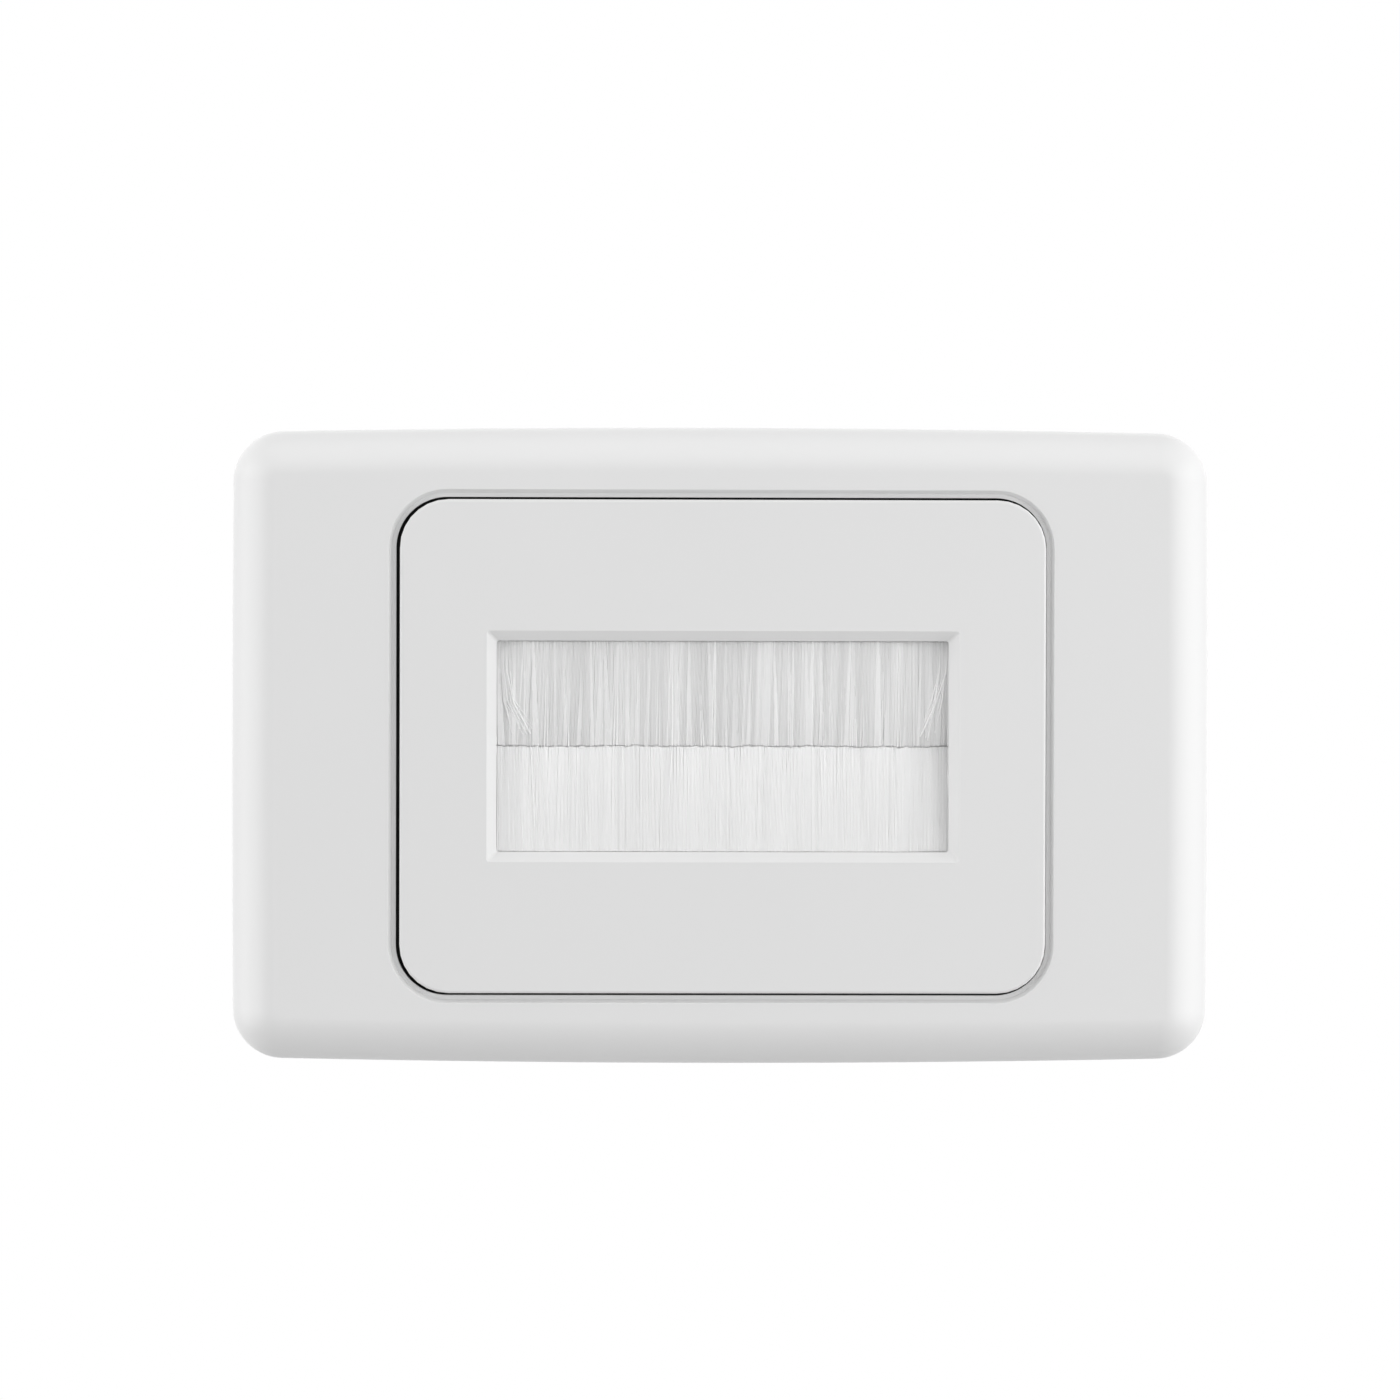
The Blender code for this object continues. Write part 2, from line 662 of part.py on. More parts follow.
def fold_outline():
    """The bristles' fold seen along X: a round loop over the wire, and its neck."""
    neck = CHANNEL_MOUTH / 2 - SEAT_GAP
    spread = math.asin(neck / FOLD_RADIUS)
    start, end = spread - math.pi / 2, 3 * math.pi / 2 - spread
    loop = []
    for step in range(SMALL_ROUND_SIDES + 1):
        angle = start + (end - start) * step / SMALL_ROUND_SIDES
        loop.append((FOLD_RADIUS * math.cos(angle), CORE_Z + FOLD_RADIUS * math.sin(angle)))
    neck_end = BUNDLE_TOP_Z - BUNDLE_ROOT / 2
    return [(neck, neck_end), *loop, (-neck, neck_end)]


def bristle_field(seed):
    """Staggered rows of tapered bristles hanging from a thin common root, their tips uneven."""
    chance = random.Random(seed)
    pitch = BRISTLE_LENGTH / (BRISTLE_COLUMNS + 1)
    bm = bmesh.new()
    bmesh.ops.create_grid(bm, x_segments=BRISTLE_COLUMNS, y_segments=BRISTLE_ROWS, size=0.5)
    bmesh.ops.scale(bm, vec=(BRISTLE_LENGTH - pitch, BUNDLE_THICKNESS, 1), verts=bm.verts)
    for vert in bm.verts:
        vert.co.x += vert.co.y / BUNDLE_THICKNESS * pitch
    bmesh.ops.translate(bm, vec=(0, -STRIP_DEPTH, BUNDLE_ROOT_Z), verts=bm.verts)
    cells = list(bm.faces)
    rim = [edge for edge in bm.edges if edge.is_boundary]
    raised = bmesh.ops.extrude_edge_only(bm, edges=rim)["geom"]
    top = [item for item in raised if isinstance(item, bmesh.types.BMVert)]
    bmesh.ops.translate(bm, vec=(0, 0, BUNDLE_ROOT), verts=top)
    bmesh.ops.holes_fill(bm, edges=[edge for edge in bm.edges if edge.is_boundary])
    bmesh.ops.recalc_face_normals(bm, faces=bm.faces)
    bmesh.ops.inset_individual(bm, faces=cells, thickness=BRISTLE_ROOT_GAP)
    for tip in bmesh.ops.extrude_discrete_faces(bm, faces=cells)["faces"]:
        centre = tip.calc_center_median()
        lean = chance.uniform(-BRISTLE_LEAN, BRISTLE_LEAN)
        tip_z = TIP_LINE_GAP + chance.random() * TIP_UNEVENNESS
        for vert in tip.verts:
            across = math.copysign(BRISTLE_TIP / 2, vert.co.x - centre.x)
            deep = math.copysign(BRISTLE_TIP / 2, vert.co.y - centre.y)
            vert.co = (centre.x + across + lean, centre.y + deep, tip_z)
    return bm


def make_bristles(name, seed, material, parent):
    """One strip's bristles: folded over the wire, pinched by the neck, free at their tips."""
    bristles = new_object(name, bristle_field(seed), PARTS, material, parent)
    start = -BRISTLE_LENGTH / 2
    outline = [Vector((start, y - STRIP_DEPTH, z)) for y, z in fold_outline()]
    fold = new_cutter(f"{name}_fold", prism(outline, Vector((BRISTLE_LENGTH, 0, 0))), parent)
    join(bristles, fold)
    bm = bmesh.new()
    bmesh.ops.create_cone(
        bm,
        cap_ends=True,
        segments=SMALL_ROUND_SIDES,
        radius1=CORE_RADIUS + SEAT_GAP,
        radius2=CORE_RADIUS + SEAT_GAP,
        depth=BRISTLE_LENGTH + 2 * CUT_OVERRUN,
    )
    lying = Matrix.Rotation(math.pi / 2, 4, "Y")
    bmesh.ops.transform(
        bm, matrix=Matrix.Translation((0, -STRIP_DEPTH, CORE_Z)) @ lying, verts=bm.verts
    )
    cut(bristles, new_cutter(f"{name}_wire_way", bm, parent))
    return bristles


def make_clamp_bar(name, material, parent):
    """The bar that presses a channel against the panel, with a counterbored hole at each end."""
    outline = rounded_rectangle(BAR_LENGTH, BAR_HEIGHT, BAR_RADIUS, z=BAR_Z)
    bar = new_object(name, slab(outline, BAR_REAR, BAR_FRONT), PARTS, material, parent)
    for side, end in ((-1, "left"), (1, "right")):
        x = side * SCREW_X
        counterbore = cylinder(
            HEAD_RADIUS + SEAT_GAP, BAR_REAR - CUT_OVERRUN, HEAD_SEAT, x, BAR_Z
        )
        hole = cylinder(
            SCREW_CORE_RADIUS + SCREW_THREAD + SEAT_GAP,
            BAR_REAR - CUT_OVERRUN,
            BAR_FRONT + CUT_OVERRUN,
            x,
            BAR_Z,
            SMALL_ROUND_SIDES,
        )
        cut(bar, new_cutter(f"{name}_counterbore_{end}", counterbore, parent))
        cut(bar, new_cutter(f"{name}_hole_{end}", hole, parent))
    return bar


def screw_profile():
    """Half of the screw's section, from the top of its pan head down to its point."""
    profile = [(0, HEAD_HEIGHT)]
    for step in range(EDGE_ROUND_STEPS + 1):
        angle = (1 - step / EDGE_ROUND_STEPS) * math.pi / 2
        radius = HEAD_FLAT_RADIUS + (HEAD_RADIUS - HEAD_FLAT_RADIUS) * math.cos(angle)
        height = HEAD_RIM + (HEAD_HEIGHT - HEAD_RIM) * math.sin(angle)
        profile.append((radius, height))
    return profile + [
        (HEAD_RADIUS, 0),
        (SCREW_CORE_RADIUS, 0),
        (SCREW_CORE_RADIUS, SCREW_TIP - SCREW_LENGTH),
        (SCREW_POINT_RADIUS, -SCREW_LENGTH),
        (0, -SCREW_LENGTH),
    ]


def cross_outline():
    """A cross of two equal bars, as twelve corners."""
    arm, half = RECESS_ARM, RECESS_WIDTH / 2
    quarter = [Vector((half, half)), Vector((half, arm)), Vector((-half, arm))]
    corners = []
    for turn in range(4):
        corners += [Matrix.Rotation(turn * math.pi / 2, 2) @ corner for corner in quarter]
    return corners


def make_screw(name, side, material, parent):
    """A self-tapping clamp screw with a cross recess, its head towards the wall."""
    bm = bmesh.new()
    verts = [bm.verts.new((x, 0, z)) for x, z in screw_profile()]
    for pair in zip(verts, verts[1:]):
        bm.edges.new(pair)
    screw = new_object(name, bm, PARTS, material, parent)
    screw.location = (side * SCREW_X, -HEAD_FRONT, BAR_Z)
    screw.rotation_euler = (-math.pi / 2, 0, 0)
    turned = screw.modifiers.new("turned", "SCREW")
    turned.steps = turned.render_steps = SMALL_ROUND_SIDES
    turned.use_merge_vertices = True
    turned.merge_threshold = WELD_DISTANCE
    bottom = HEAD_HEIGHT - RECESS_DEPTH
    corners = [Vector((x, y, bottom)) for x, y in cross_outline()]
    recess = prism(corners, Vector((0, 0, RECESS_DEPTH + CUT_OVERRUN)))
    cut(screw, new_cutter(f"{name}_recess", recess, screw))
    return screw


def make_brush_strip(place, turn, seed):
    """A brush strip with its clamp bar and screws, built for the upper place and turned to it."""
    strip = new_empty(f"{place}_strip", PARTS, rotation=(0, turn, 0), parent=GRID)
    make_channel(f"{place}_brush_channel", CHANNEL_METAL, strip)
    make_core_wire(f"{place}_core_wire", WIRE_STEEL, strip)
    make_bristles(f"{place}_bristles", seed, BRISTLE_NYLON, strip)
    make_clamp_bar(f"{place}_clamp_bar", BAR_PLASTIC, strip)
    for number, side in ((1, -1), (2, 1)):
        make_screw(f"{place}_clamp_screw_{number}", side, SCREW_STEEL, strip)


for leftover in list(bpy.data.objects):
    bpy.data.objects.remove(leftover)

PARTS = new_collection("brush_wall_plate")
CUTTERS = new_collection("cutters")
WHITE_PLASTIC = new_material("white_plastic", (0.74, 0.74, 0.74), 0.42)
BAR_PLASTIC = new_material("bar_plastic", (0.62, 0.62, 0.61), 0.5)
CHANNEL_METAL = new_material("channel_metal", (0.78, 0.78, 0.78), 0.35, 1.0)
WIRE_STEEL = new_material("wire_steel", (0.55, 0.55, 0.56), 0.35, 1.0)
SCREW_STEEL = new_material("screw_steel", (0.66, 0.66, 0.67), 0.3, 1.0)
BRISTLE_NYLON = new_material("bristle_nylon", (0.82, 0.82, 0.82), 0.45)
ASSEMBLY = new_empty("wall_plane", PARTS)
GRID = new_empty("grid_frame", PARTS, location=(GRID_SIDE_PLAY, 0, 0), parent=ASSEMBLY)

make_surround(WHITE_PLASTIC)
make_grid_plate(WHITE_PLASTIC)
make_brush_strip("upper", 0.0, seed=3)
make_brush_strip("lower", math.pi, seed=8)
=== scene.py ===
import math
import random

import bmesh
import bpy
from mathutils import Matrix, Vector, noise


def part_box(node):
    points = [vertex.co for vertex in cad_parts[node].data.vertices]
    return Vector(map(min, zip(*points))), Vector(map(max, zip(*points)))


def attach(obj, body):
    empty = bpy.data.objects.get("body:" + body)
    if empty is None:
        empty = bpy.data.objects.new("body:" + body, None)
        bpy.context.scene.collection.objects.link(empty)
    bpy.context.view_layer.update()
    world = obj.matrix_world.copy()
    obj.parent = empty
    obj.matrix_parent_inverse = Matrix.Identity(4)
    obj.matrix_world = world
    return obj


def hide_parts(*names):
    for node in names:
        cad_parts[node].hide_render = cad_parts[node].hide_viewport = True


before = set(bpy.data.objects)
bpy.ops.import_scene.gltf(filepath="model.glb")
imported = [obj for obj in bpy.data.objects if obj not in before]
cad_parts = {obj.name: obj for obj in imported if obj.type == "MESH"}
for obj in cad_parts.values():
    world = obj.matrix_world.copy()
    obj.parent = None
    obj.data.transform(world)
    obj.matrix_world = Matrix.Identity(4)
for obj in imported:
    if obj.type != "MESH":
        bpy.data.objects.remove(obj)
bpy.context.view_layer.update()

MM = 0.001


def spans(node):
    """A node's lowest and highest x, depth in front of the wall, and z."""
    low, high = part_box(node)
    return (low.x, high.x), (-high.y, -low.y), (low.z, high.z)


(PLATE_LEFT, PLATE_RIGHT), (_, FACE_DEPTH), (PLATE_LOW, PLATE_TOP) = spans("surround_cover")
(GRID_LEFT, GRID_RIGHT), _, _ = spans("grid_plate")
_, _, (MOUTH_Z, _) = spans("upper_brush_channel")
(BRISTLE_LEFT, BRISTLE_RIGHT), _, _ = spans("upper_bristles")
PLATE_WIDTH = PLATE_RIGHT - PLATE_LEFT
PLATE_HEIGHT = PLATE_TOP - PLATE_LOW
GRID_X = (GRID_LEFT + GRID_RIGHT) / 2

# Surround cover, as in the part's source
CORNER_RADIUS = 5.9 * MM
LONG_SIDE_BOW = 0.68 * MM
SHORT_SIDE_BOW = 0.16 * MM
SHELL_WALL = 1.8 * MM
SHOULDER_WIDTH = 5.2 * MM
SHOULDER_HEIGHT = 5.6 * MM
SHOULDER_POWER = 1.8
SMALLEST_INNER_RADIUS = 1.0 * MM
OPENING_WIDTH = 77.62 * MM
OPENING_HEIGHT = 59.42 * MM
OPENING_RADIUS = 6.06 * MM
LEDGE_WIDTH = 0.5 * MM
LEDGE_SLOPE = 0.42 * MM
LEDGE_DROP = 0.8 * MM
LIP_WALL = 1.4 * MM
LIP_HEIGHT = 3.4 * MM
ARM_X = 49.5 * MM
ARM_Z = 20.0 * MM
ARM_THICKNESS = 1.4 * MM
ARM_WIDTH = 7.0 * MM
ARM_ROOT_OVERLAP = 0.5 * MM
BARB_REACH = 1.3 * MM
BARB_TOP = 1.3 * MM
BARB_LAND = 0.25 * MM
BARB_NOSE_DEPTH = 0.4 * MM
NOTCH_WIDTH = 8.0 * MM
NOTCH_HEIGHT = 1.5 * MM
CUT_OVERRUN = 1.0 * MM

# How far edges are softened, how far from them a flat face is held flat, and how many times the
# softening the edges next to a softened one have to measure
SKIRT_EASE = 0.3 * MM
RECESS_EASE = 0.05 * MM
LEDGE_EASE = 0.06 * MM
HIDDEN_EASE = 0.25 * MM
CREST_HOLD = 0.35 * MM
MOULDED_EASE = 0.12 * MM
BAR_EASE = 0.25 * MM
SHEET_EASE = 0.06 * MM
SCREW_EASE = 0.05 * MM
EASE_ROOM = 2.2

# Fineness of the round forms, and what counts as a sharp edge, as one point and as one plane
CORNER_STEPS = 20
LONG_SIDE_STEPS = 24
SHORT_SIDE_STEPS = 8
SHOULDER_STEPS = 24
INNER_SHOULDER_STEPS = 8
EASE_STEPS = 4
BEVEL_SEGMENTS = 2
SHARP_ANGLE = math.radians(32)
WELD_DISTANCE = 0.002 * MM
FLAT_ANGLE = math.radians(0.3)

# Aperture and the wall round it, as in the part's source
APERTURE_WIDTH = 54.0 * MM
PANEL_BACK = 8.1 * MM

# Bristles: along a filament, the share of the way to its tip, the front depth of the upper and
# of the lower bundle there, and the rear depth of both
BUNDLE = (
    (0.0, 6.65 * MM, 6.65 * MM, 4.75 * MM),
    (0.095, 7.9 * MM, 7.9 * MM, 4.4 * MM),
    (0.102, 8.55 * MM, 9.05 * MM, 4.3 * MM),
    (0.112, 8.6 * MM, 9.08 * MM, 4.2 * MM),
    (0.86, 8.36 * MM, 8.42 * MM, 3.4 * MM),
    (1.0, 7.94 * MM, 8.25 * MM, 3.2 * MM),
)

# Bristles: the filaments' make, the layers from the rear of the bundle (0) to its front (1), and
# how a filament's lean and lift grow on its way and calm down near the strip's ends
FILAMENT_PITCH = 0.17 * MM
FILAMENT_RADIUS = 0.098 * MM
FILAMENT_SIDES = 4
FILAMENT_JITTER = 0.02 * MM
FILAMENT_TURN = 0.25
FILAMENT_TONE = 0.16
FILAMENT_ROOM = 1.2 * FILAMENT_RADIUS
LAYER_FRONTS = (0.0, 0.06, 0.3, 0.56, 0.78, 0.9, 0.955, 0.985, 1.0)
LAYERS = len(LAYER_FRONTS)
NECK_Z = MOUTH_Z - 0.2 * MM
NECK_ROOT = 0.6 * MM
LEAN_CURVE = 1.3
LIFT_CURVE = 0.5
LIFT_KEPT = 0.75
EDGE_CALM = 4.0 * MM

# Bristles: smooth random waves, as lengths and heights, in the lean and in the tone, and how
# much they differ from layer to layer and from wave to wave
WAVES = ((3.2 * MM, 0.2 * MM), (9.0 * MM, 0.45 * MM))
TONE_WAVES = ((0.4 * MM, 0.4), (1.1 * MM, 0.6))
LAYER_CHANGE = 0.35
WAVE_APART = 7.3

# Bristles: the wandering line where the front layers' tips meet, and how far the rear layers
# reach over it or stop short of it
SEAM_WAVES = ((0.9 * MM, 0.16 * MM), (4.0 * MM, 0.16 * MM))
SEAM_GAP = 0.03 * MM
SEAM_UNEVEN = 0.16 * MM
SEAM_LAYERS = 3
SEAM_STEP = 0.3 * MM
REAR_STEP = 0.5 * MM

# Bristles: how far in each end's dip starts, how deep it is, and how much painted shade darkens the
# filaments there
END_DIPS = {-1: (3.0 * MM, 0.2 * MM, 0.1), 1: (6.5 * MM, 0.65 * MM, 0.55)}

# Bristles: locks of filaments that lean and stand out together
LOCK_WIDTHS = (0.5 * MM, 1.9 * MM)
LOCK_LEAN = 0.5 * MM
LOCK_SPREADS = (1.0, 1.05)
LOCK_LIFT = 0.03 * MM
LOCK_BULGE = 0.05 * MM
LOCK_TONE = 0.25

# Bristles: bright tufts that come out in front and fan out towards their tips
TUFT_COUNTS = (2, 5)
TUFT_PLACES = (0.1, 1.0)
TUFT_ROOT = 0.06 * MM
TUFT_SPREADS = (0.1 * MM, 0.85 * MM)
TUFT_LEAN = 0.6 * MM
TUFT_ROOT_PROUD = (-0.14 * MM, 0.05 * MM)
TUFT_TIP_PROUD = (0.03 * MM, 0.1 * MM)
TUFT_REACH = 0.08 * MM
TUFT_TONES = (0.45, 1.0)

# Bristles: splayed clumps near the aperture's ends, as the share of the way to the tip and the
# depth there, and how far single filaments stray from the clump's own distances and heights
CLUMP_LINE = (
    (0.0, 6.65 * MM),
    (0.095, 7.9 * MM),
    (0.102, 8.56 * MM),
    (0.4, 8.51 * MM),
    (0.7, 8.41 * MM),
    (1.0, 8.0 * MM),
)
CLUMP_STRAYS = (
    (-0.25 * MM, 0.9 * MM),
    (-3.0 * MM, 0.0),
    (-1.5 * MM, 0.5 * MM),
    (0.0, 1.0 * MM),
)
CLUMP_PROUD = (0.06 * MM, 0.22 * MM)
CLUMP_CURVE = 1.25
CLUMP_TONES = (0.35, 1.0)

# Bristles: the two strips. A clump has its side, the distances of its root and of its tip from
# the aperture's end, the heights of its bend and of its tip, and its number of filaments
# Each strip's row_painted_light is painted light and shade on the same nylon: the lower strip is
# painted lighter, the upper darker.
STRIPS = {
    "upper": {
        "seed": 3,
        "flip": False,
        "unrest": 0.8,
        "row_painted_light": 0.22,
        "tufts": 52,
        "clumps": (
            (-1, 0.7 * MM, 4.6 * MM, 7.6 * MM, 1.2 * MM, 14),
            (1, 0.4 * MM, 3.6 * MM, 8.6 * MM, 0.7 * MM, 9),
        ),
    },
    "lower": {
        "seed": 8,
        "flip": True,
        "unrest": 0.25,
        "row_painted_light": 0.94,
        "tufts": 22,
        "clumps": (),
    },
}

# Painted shade in the slot round the panel: how far in and out from the opening's wall it reaches
# and how softly it ends, the depths where it starts and is full, and the share of the colour left
SLOT_BAND = (0.5 * MM, 0.45 * MM)
SLOT_BLEND = 0.03 * MM
SLOT_TOP = 9.1 * MM
SLOT_DARK = 8.2 * MM
SLOT_PAINTED_SHADE = 0.02

# Moulded plastic: its faint cloudiness and its fine eroded grain
CLOUD_SCALE = 45.0
CLOUD_DETAIL = 2.0
CLOUD_SHARE = 0.01
GRAIN_SCALE = 6000.0
GRAIN_STRENGTH = 0.12
GRAIN_HEIGHT = 0.02 * MM

# Camera: a long lens, a little to the left of the plate and a little above it, as far from it
# and at the same scale as in the photograph
CAMERA_DISTANCE = 1.0
CAMERA_REACH = 20
PHOTO_PIXELS = 1400
PIXELS_PER_MM = 8.338
SENSOR_WIDTH = 36.0
AIM = Vector((-2.45 * MM, -4.4 * MM, 5.46 * MM))
CAMERA_YAW = math.radians(1.4)
CAMERA_PITCH = math.radians(1.06)
CAMERA_ROLL = math.radians(0.14)

# Studio light: the world's level, its share from below and how softly it changes to that; and
# each soft lamp's side, tilt from straight ahead in degrees, distance and level on a surface
# that faces it
AMBIENT_LEVEL = 0.527
GROUND_SHARE = 0.89
GROUND_BLEND = 0.35
LAMPS = {
    "right_lamp": ((1, 0), 75, 0.7, 0.553),
    "front_right_lamp": ((1, 0), 55, 1.0, 0.32),
    "left_lamp": ((-1, 0), 78, 1.0, 0.71),
    "top_lamp": ((0, 1), 70, 0.5, 0.355),
    "rear_lamp": ((0, 1), 172, 1.2, 0.22),
}
LAMP_SPREAD = 1.15

# Floor: a pale disc well below the plate, solid to a share of its radius and fading beyond
FLOOR_COLOUR = (0.9, 0.9, 0.9)
FLOOR_ROUGHNESS = 0.8
FLOOR_SIDES = 64
FLOOR_DROP = 0.35
FLOOR_RADIUS = 0.55
FLOOR_SOLID = 0.3


def eased(corners):
    """A profile whose corners, given as across, along and radius, are softened by small arcs."""
    points = [Vector(corner[:2]) for corner in corners]
    profile = [points[0]]
    for index in range(1, len(points) - 1):
        before, corner, after = points[index - 1 : index + 2]
        reach = corners[index][2]
        if not reach:
            profile.append(corner)
            continue
        start = corner + (before - corner).normalized() * reach
        end = corner + (after - corner).normalized() * reach
        for step in range(EASE_STEPS + 1):
            part = step / EASE_STEPS
            profile.append(start.lerp(corner, part).lerp(corner.lerp(end, part), part))
    profile.append(points[-1])
    return profile


def rounded_rectangle(width, height, radius, long_steps=1, short_steps=1, x=0.0, z=0.0):
    """Points round a rectangle with arc corners, its straight sides split into steps."""
    arcs = []
    for quarter, (side_x, side_z) in enumerate(((1, 1), (-1, 1), (-1, -1), (1, -1))):
        centre = Vector((x + side_x * (width / 2 - radius), z + side_z * (height / 2 - radius)))
        arc = []
        for step in range(CORNER_STEPS + 1):
            angle = (quarter + step / CORNER_STEPS) * math.pi / 2
            arc.append(centre + radius * Vector((math.cos(angle), math.sin(angle))))
        arcs.append(arc)
    points = []
    for quarter, arc in enumerate(arcs):
        following = arcs[(quarter + 1) % 4][0]
        steps = short_steps if quarter % 2 else long_steps
        points += arc
        points += [arc[-1].lerp(following, step / steps) for step in range(1, steps)]
    return points


def plate_outline(inset):
    """The bowed outline of the plate, moved inwards."""
    outline = rounded_rectangle(
        PLATE_WIDTH - 2 * inset,
        PLATE_HEIGHT - 2 * inset,
        max(CORNER_RADIUS - inset, SMALLEST_INNER_RADIUS),
        LONG_SIDE_STEPS,
        SHORT_SIDE_STEPS,
    )
    half_width, half_height = PLATE_WIDTH / 2, PLATE_HEIGHT / 2
    return [
        Vector(
            (
                x * (1 - SHORT_SIDE_BOW / half_width * (z / half_height) ** 2),
                z * (1 - LONG_SIDE_BOW / half_height * (x / half_width) ** 2),
            )
        )
        for x, z in outline
    ]


def opening_outline(margin):
    """The outline of the surround's opening, moved outwards."""
    return rounded_rectangle(
        OPENING_WIDTH + 2 * margin,
        OPENING_HEIGHT + 2 * margin,
        OPENING_RADIUS + margin,
        LONG_SIDE_STEPS,
        SHORT_SIDE_STEPS,
    )


def at_depth(outline, depth):
    """A flat outline's points at a depth in front of the wall."""
    return [Vector((x, -depth, z)) for x, z in outline]


def drawn_ring(sections):
    """A closed skin, drawn by extruding one loop of edges through its sections and welding it."""
    bm = bmesh.new()
    place = bm.verts.layers.int.new("place")
    loop = bmesh.ops.create_circle(bm, segments=len(sections[0]), radius=1)["verts"]
    for number, (vert, point) in enumerate(zip(loop, sections[0])):
        vert[place] = number
        vert.co = point
    edges = bm.edges[:]
    for section in sections[1:] + sections[:1]:
        drawn = bmesh.ops.extrude_edge_only(bm, edges=edges)["geom"]
        edges = [item for item in drawn if isinstance(item, bmesh.types.BMEdge)]
        edges = [edge for edge in edges if edge.is_boundary]
        for vert in {vert for edge in edges for vert in edge.verts}:
            vert.co = section[vert[place]]
    bmesh.ops.remove_doubles(bm, verts=bm.verts, dist=WELD_DISTANCE)
    bmesh.ops.recalc_face_normals(bm, faces=bm.faces)
    return bm


def swept(outline, sweep):
    """A closed solid: a flat outline swept along a vector."""
    bm = bmesh.new()
    face = bm.faces.new([bm.verts.new(point) for point in outline])
    moved = bmesh.ops.extrude_face_region(bm, geom=[face])["geom"]
    verts = [item for item in moved if isinstance(item, bmesh.types.BMVert)]
    bmesh.ops.translate(bm, vec=sweep, verts=verts)
    bmesh.ops.recalc_face_normals(bm, faces=bm.faces)
    return bm


def new_mesh_object(name, bm):
    """An object of the scene that holds the built mesh, whose bmesh is then freed."""
    mesh = bpy.data.meshes.new(name)
    bm.to_mesh(mesh)
    bm.free()
    piece = bpy.data.objects.new(name, mesh)
    bpy.context.scene.collection.objects.link(piece)
    return piece


def combined(piece, operation, other_bm):
    """The piece joined with, or cut by, another solid, which is then gone."""
    other = new_mesh_object("tool", other_bm)
    modifier = piece.modifiers.new("tool", "BOOLEAN")
    modifier.operation = operation
    modifier.object = other
    modifier.solver = "EXACT"
    bpy.context.view_layer.update()
    seen = piece.evaluated_get(bpy.context.evaluated_depsgraph_get())
    result = bpy.data.meshes.new_from_object(seen)
    piece.modifiers.clear()
    old = piece.data
    piece.data = result
    bpy.data.meshes.remove(old)
    bpy.data.meshes.remove(other.data)


def finished(piece, material, slot, *nodes, crisp=True):
    """A finished piece: shaded smooth between its crisp edges, on the plate, in its material."""
    if crisp:
        piece.data.shade_smooth()
        piece.data.set_sharp_from_angle(angle=SHARP_ANGLE)
    piece.data.materials.clear()
    piece.data.materials.append(material)
    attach(piece, "root")
    if nodes:
        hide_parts(*nodes)


def weight_normals(piece):
    """Shading that stays flat on large faces and turns only across the softened edges."""
    modifier = piece.modifiers.new("even shading", "WEIGHTED_NORMAL")
    modifier.mode = "FACE_AREA"
    modifier.keep_sharp = True


def shoulder_profile(steps):
    """Inset and depth of the convex shoulder, from the top of the skirt to the face."""
    profile = []
    for step in range(steps + 1):
        angle = step / steps * math.pi / 2
        inset = SHOULDER_WIDTH * (1 - math.cos(angle) ** (2 / SHOULDER_POWER))
        rise = SHOULDER_HEIGHT * math.sin(angle) ** (2 / SHOULDER_POWER)
        profile.append((inset, FACE_DEPTH - SHOULDER_HEIGHT + rise))
    return profile


def clip_arm(side_x, side_z):
    """A flexible arm with a barb that hooks behind the grid plate's flange."""
    half = ARM_THICKNESS / 2
    root = FACE_DEPTH - SHELL_WALL + ARM_ROOT_OVERLAP
    outline = eased(
        (
            (-half, root, 0),
            (-half, BARB_NOSE_DEPTH, HIDDEN_EASE),
            (half, BARB_NOSE_DEPTH, HIDDEN_EASE),
            (half + BARB_REACH, BARB_TOP - BARB_LAND, BARB_LAND / 2),
            (half + BARB_REACH, BARB_TOP, 0),
            (half, BARB_TOP, HIDDEN_EASE),
            (half, root, 0),
        )
    )
    start = side_z * ARM_Z - ARM_WIDTH / 2
    points = [Vector((side_x * (ARM_X + x), -depth, start)) for x, depth in outline]
    return swept(points, Vector((0, 0, ARM_WIDTH)))


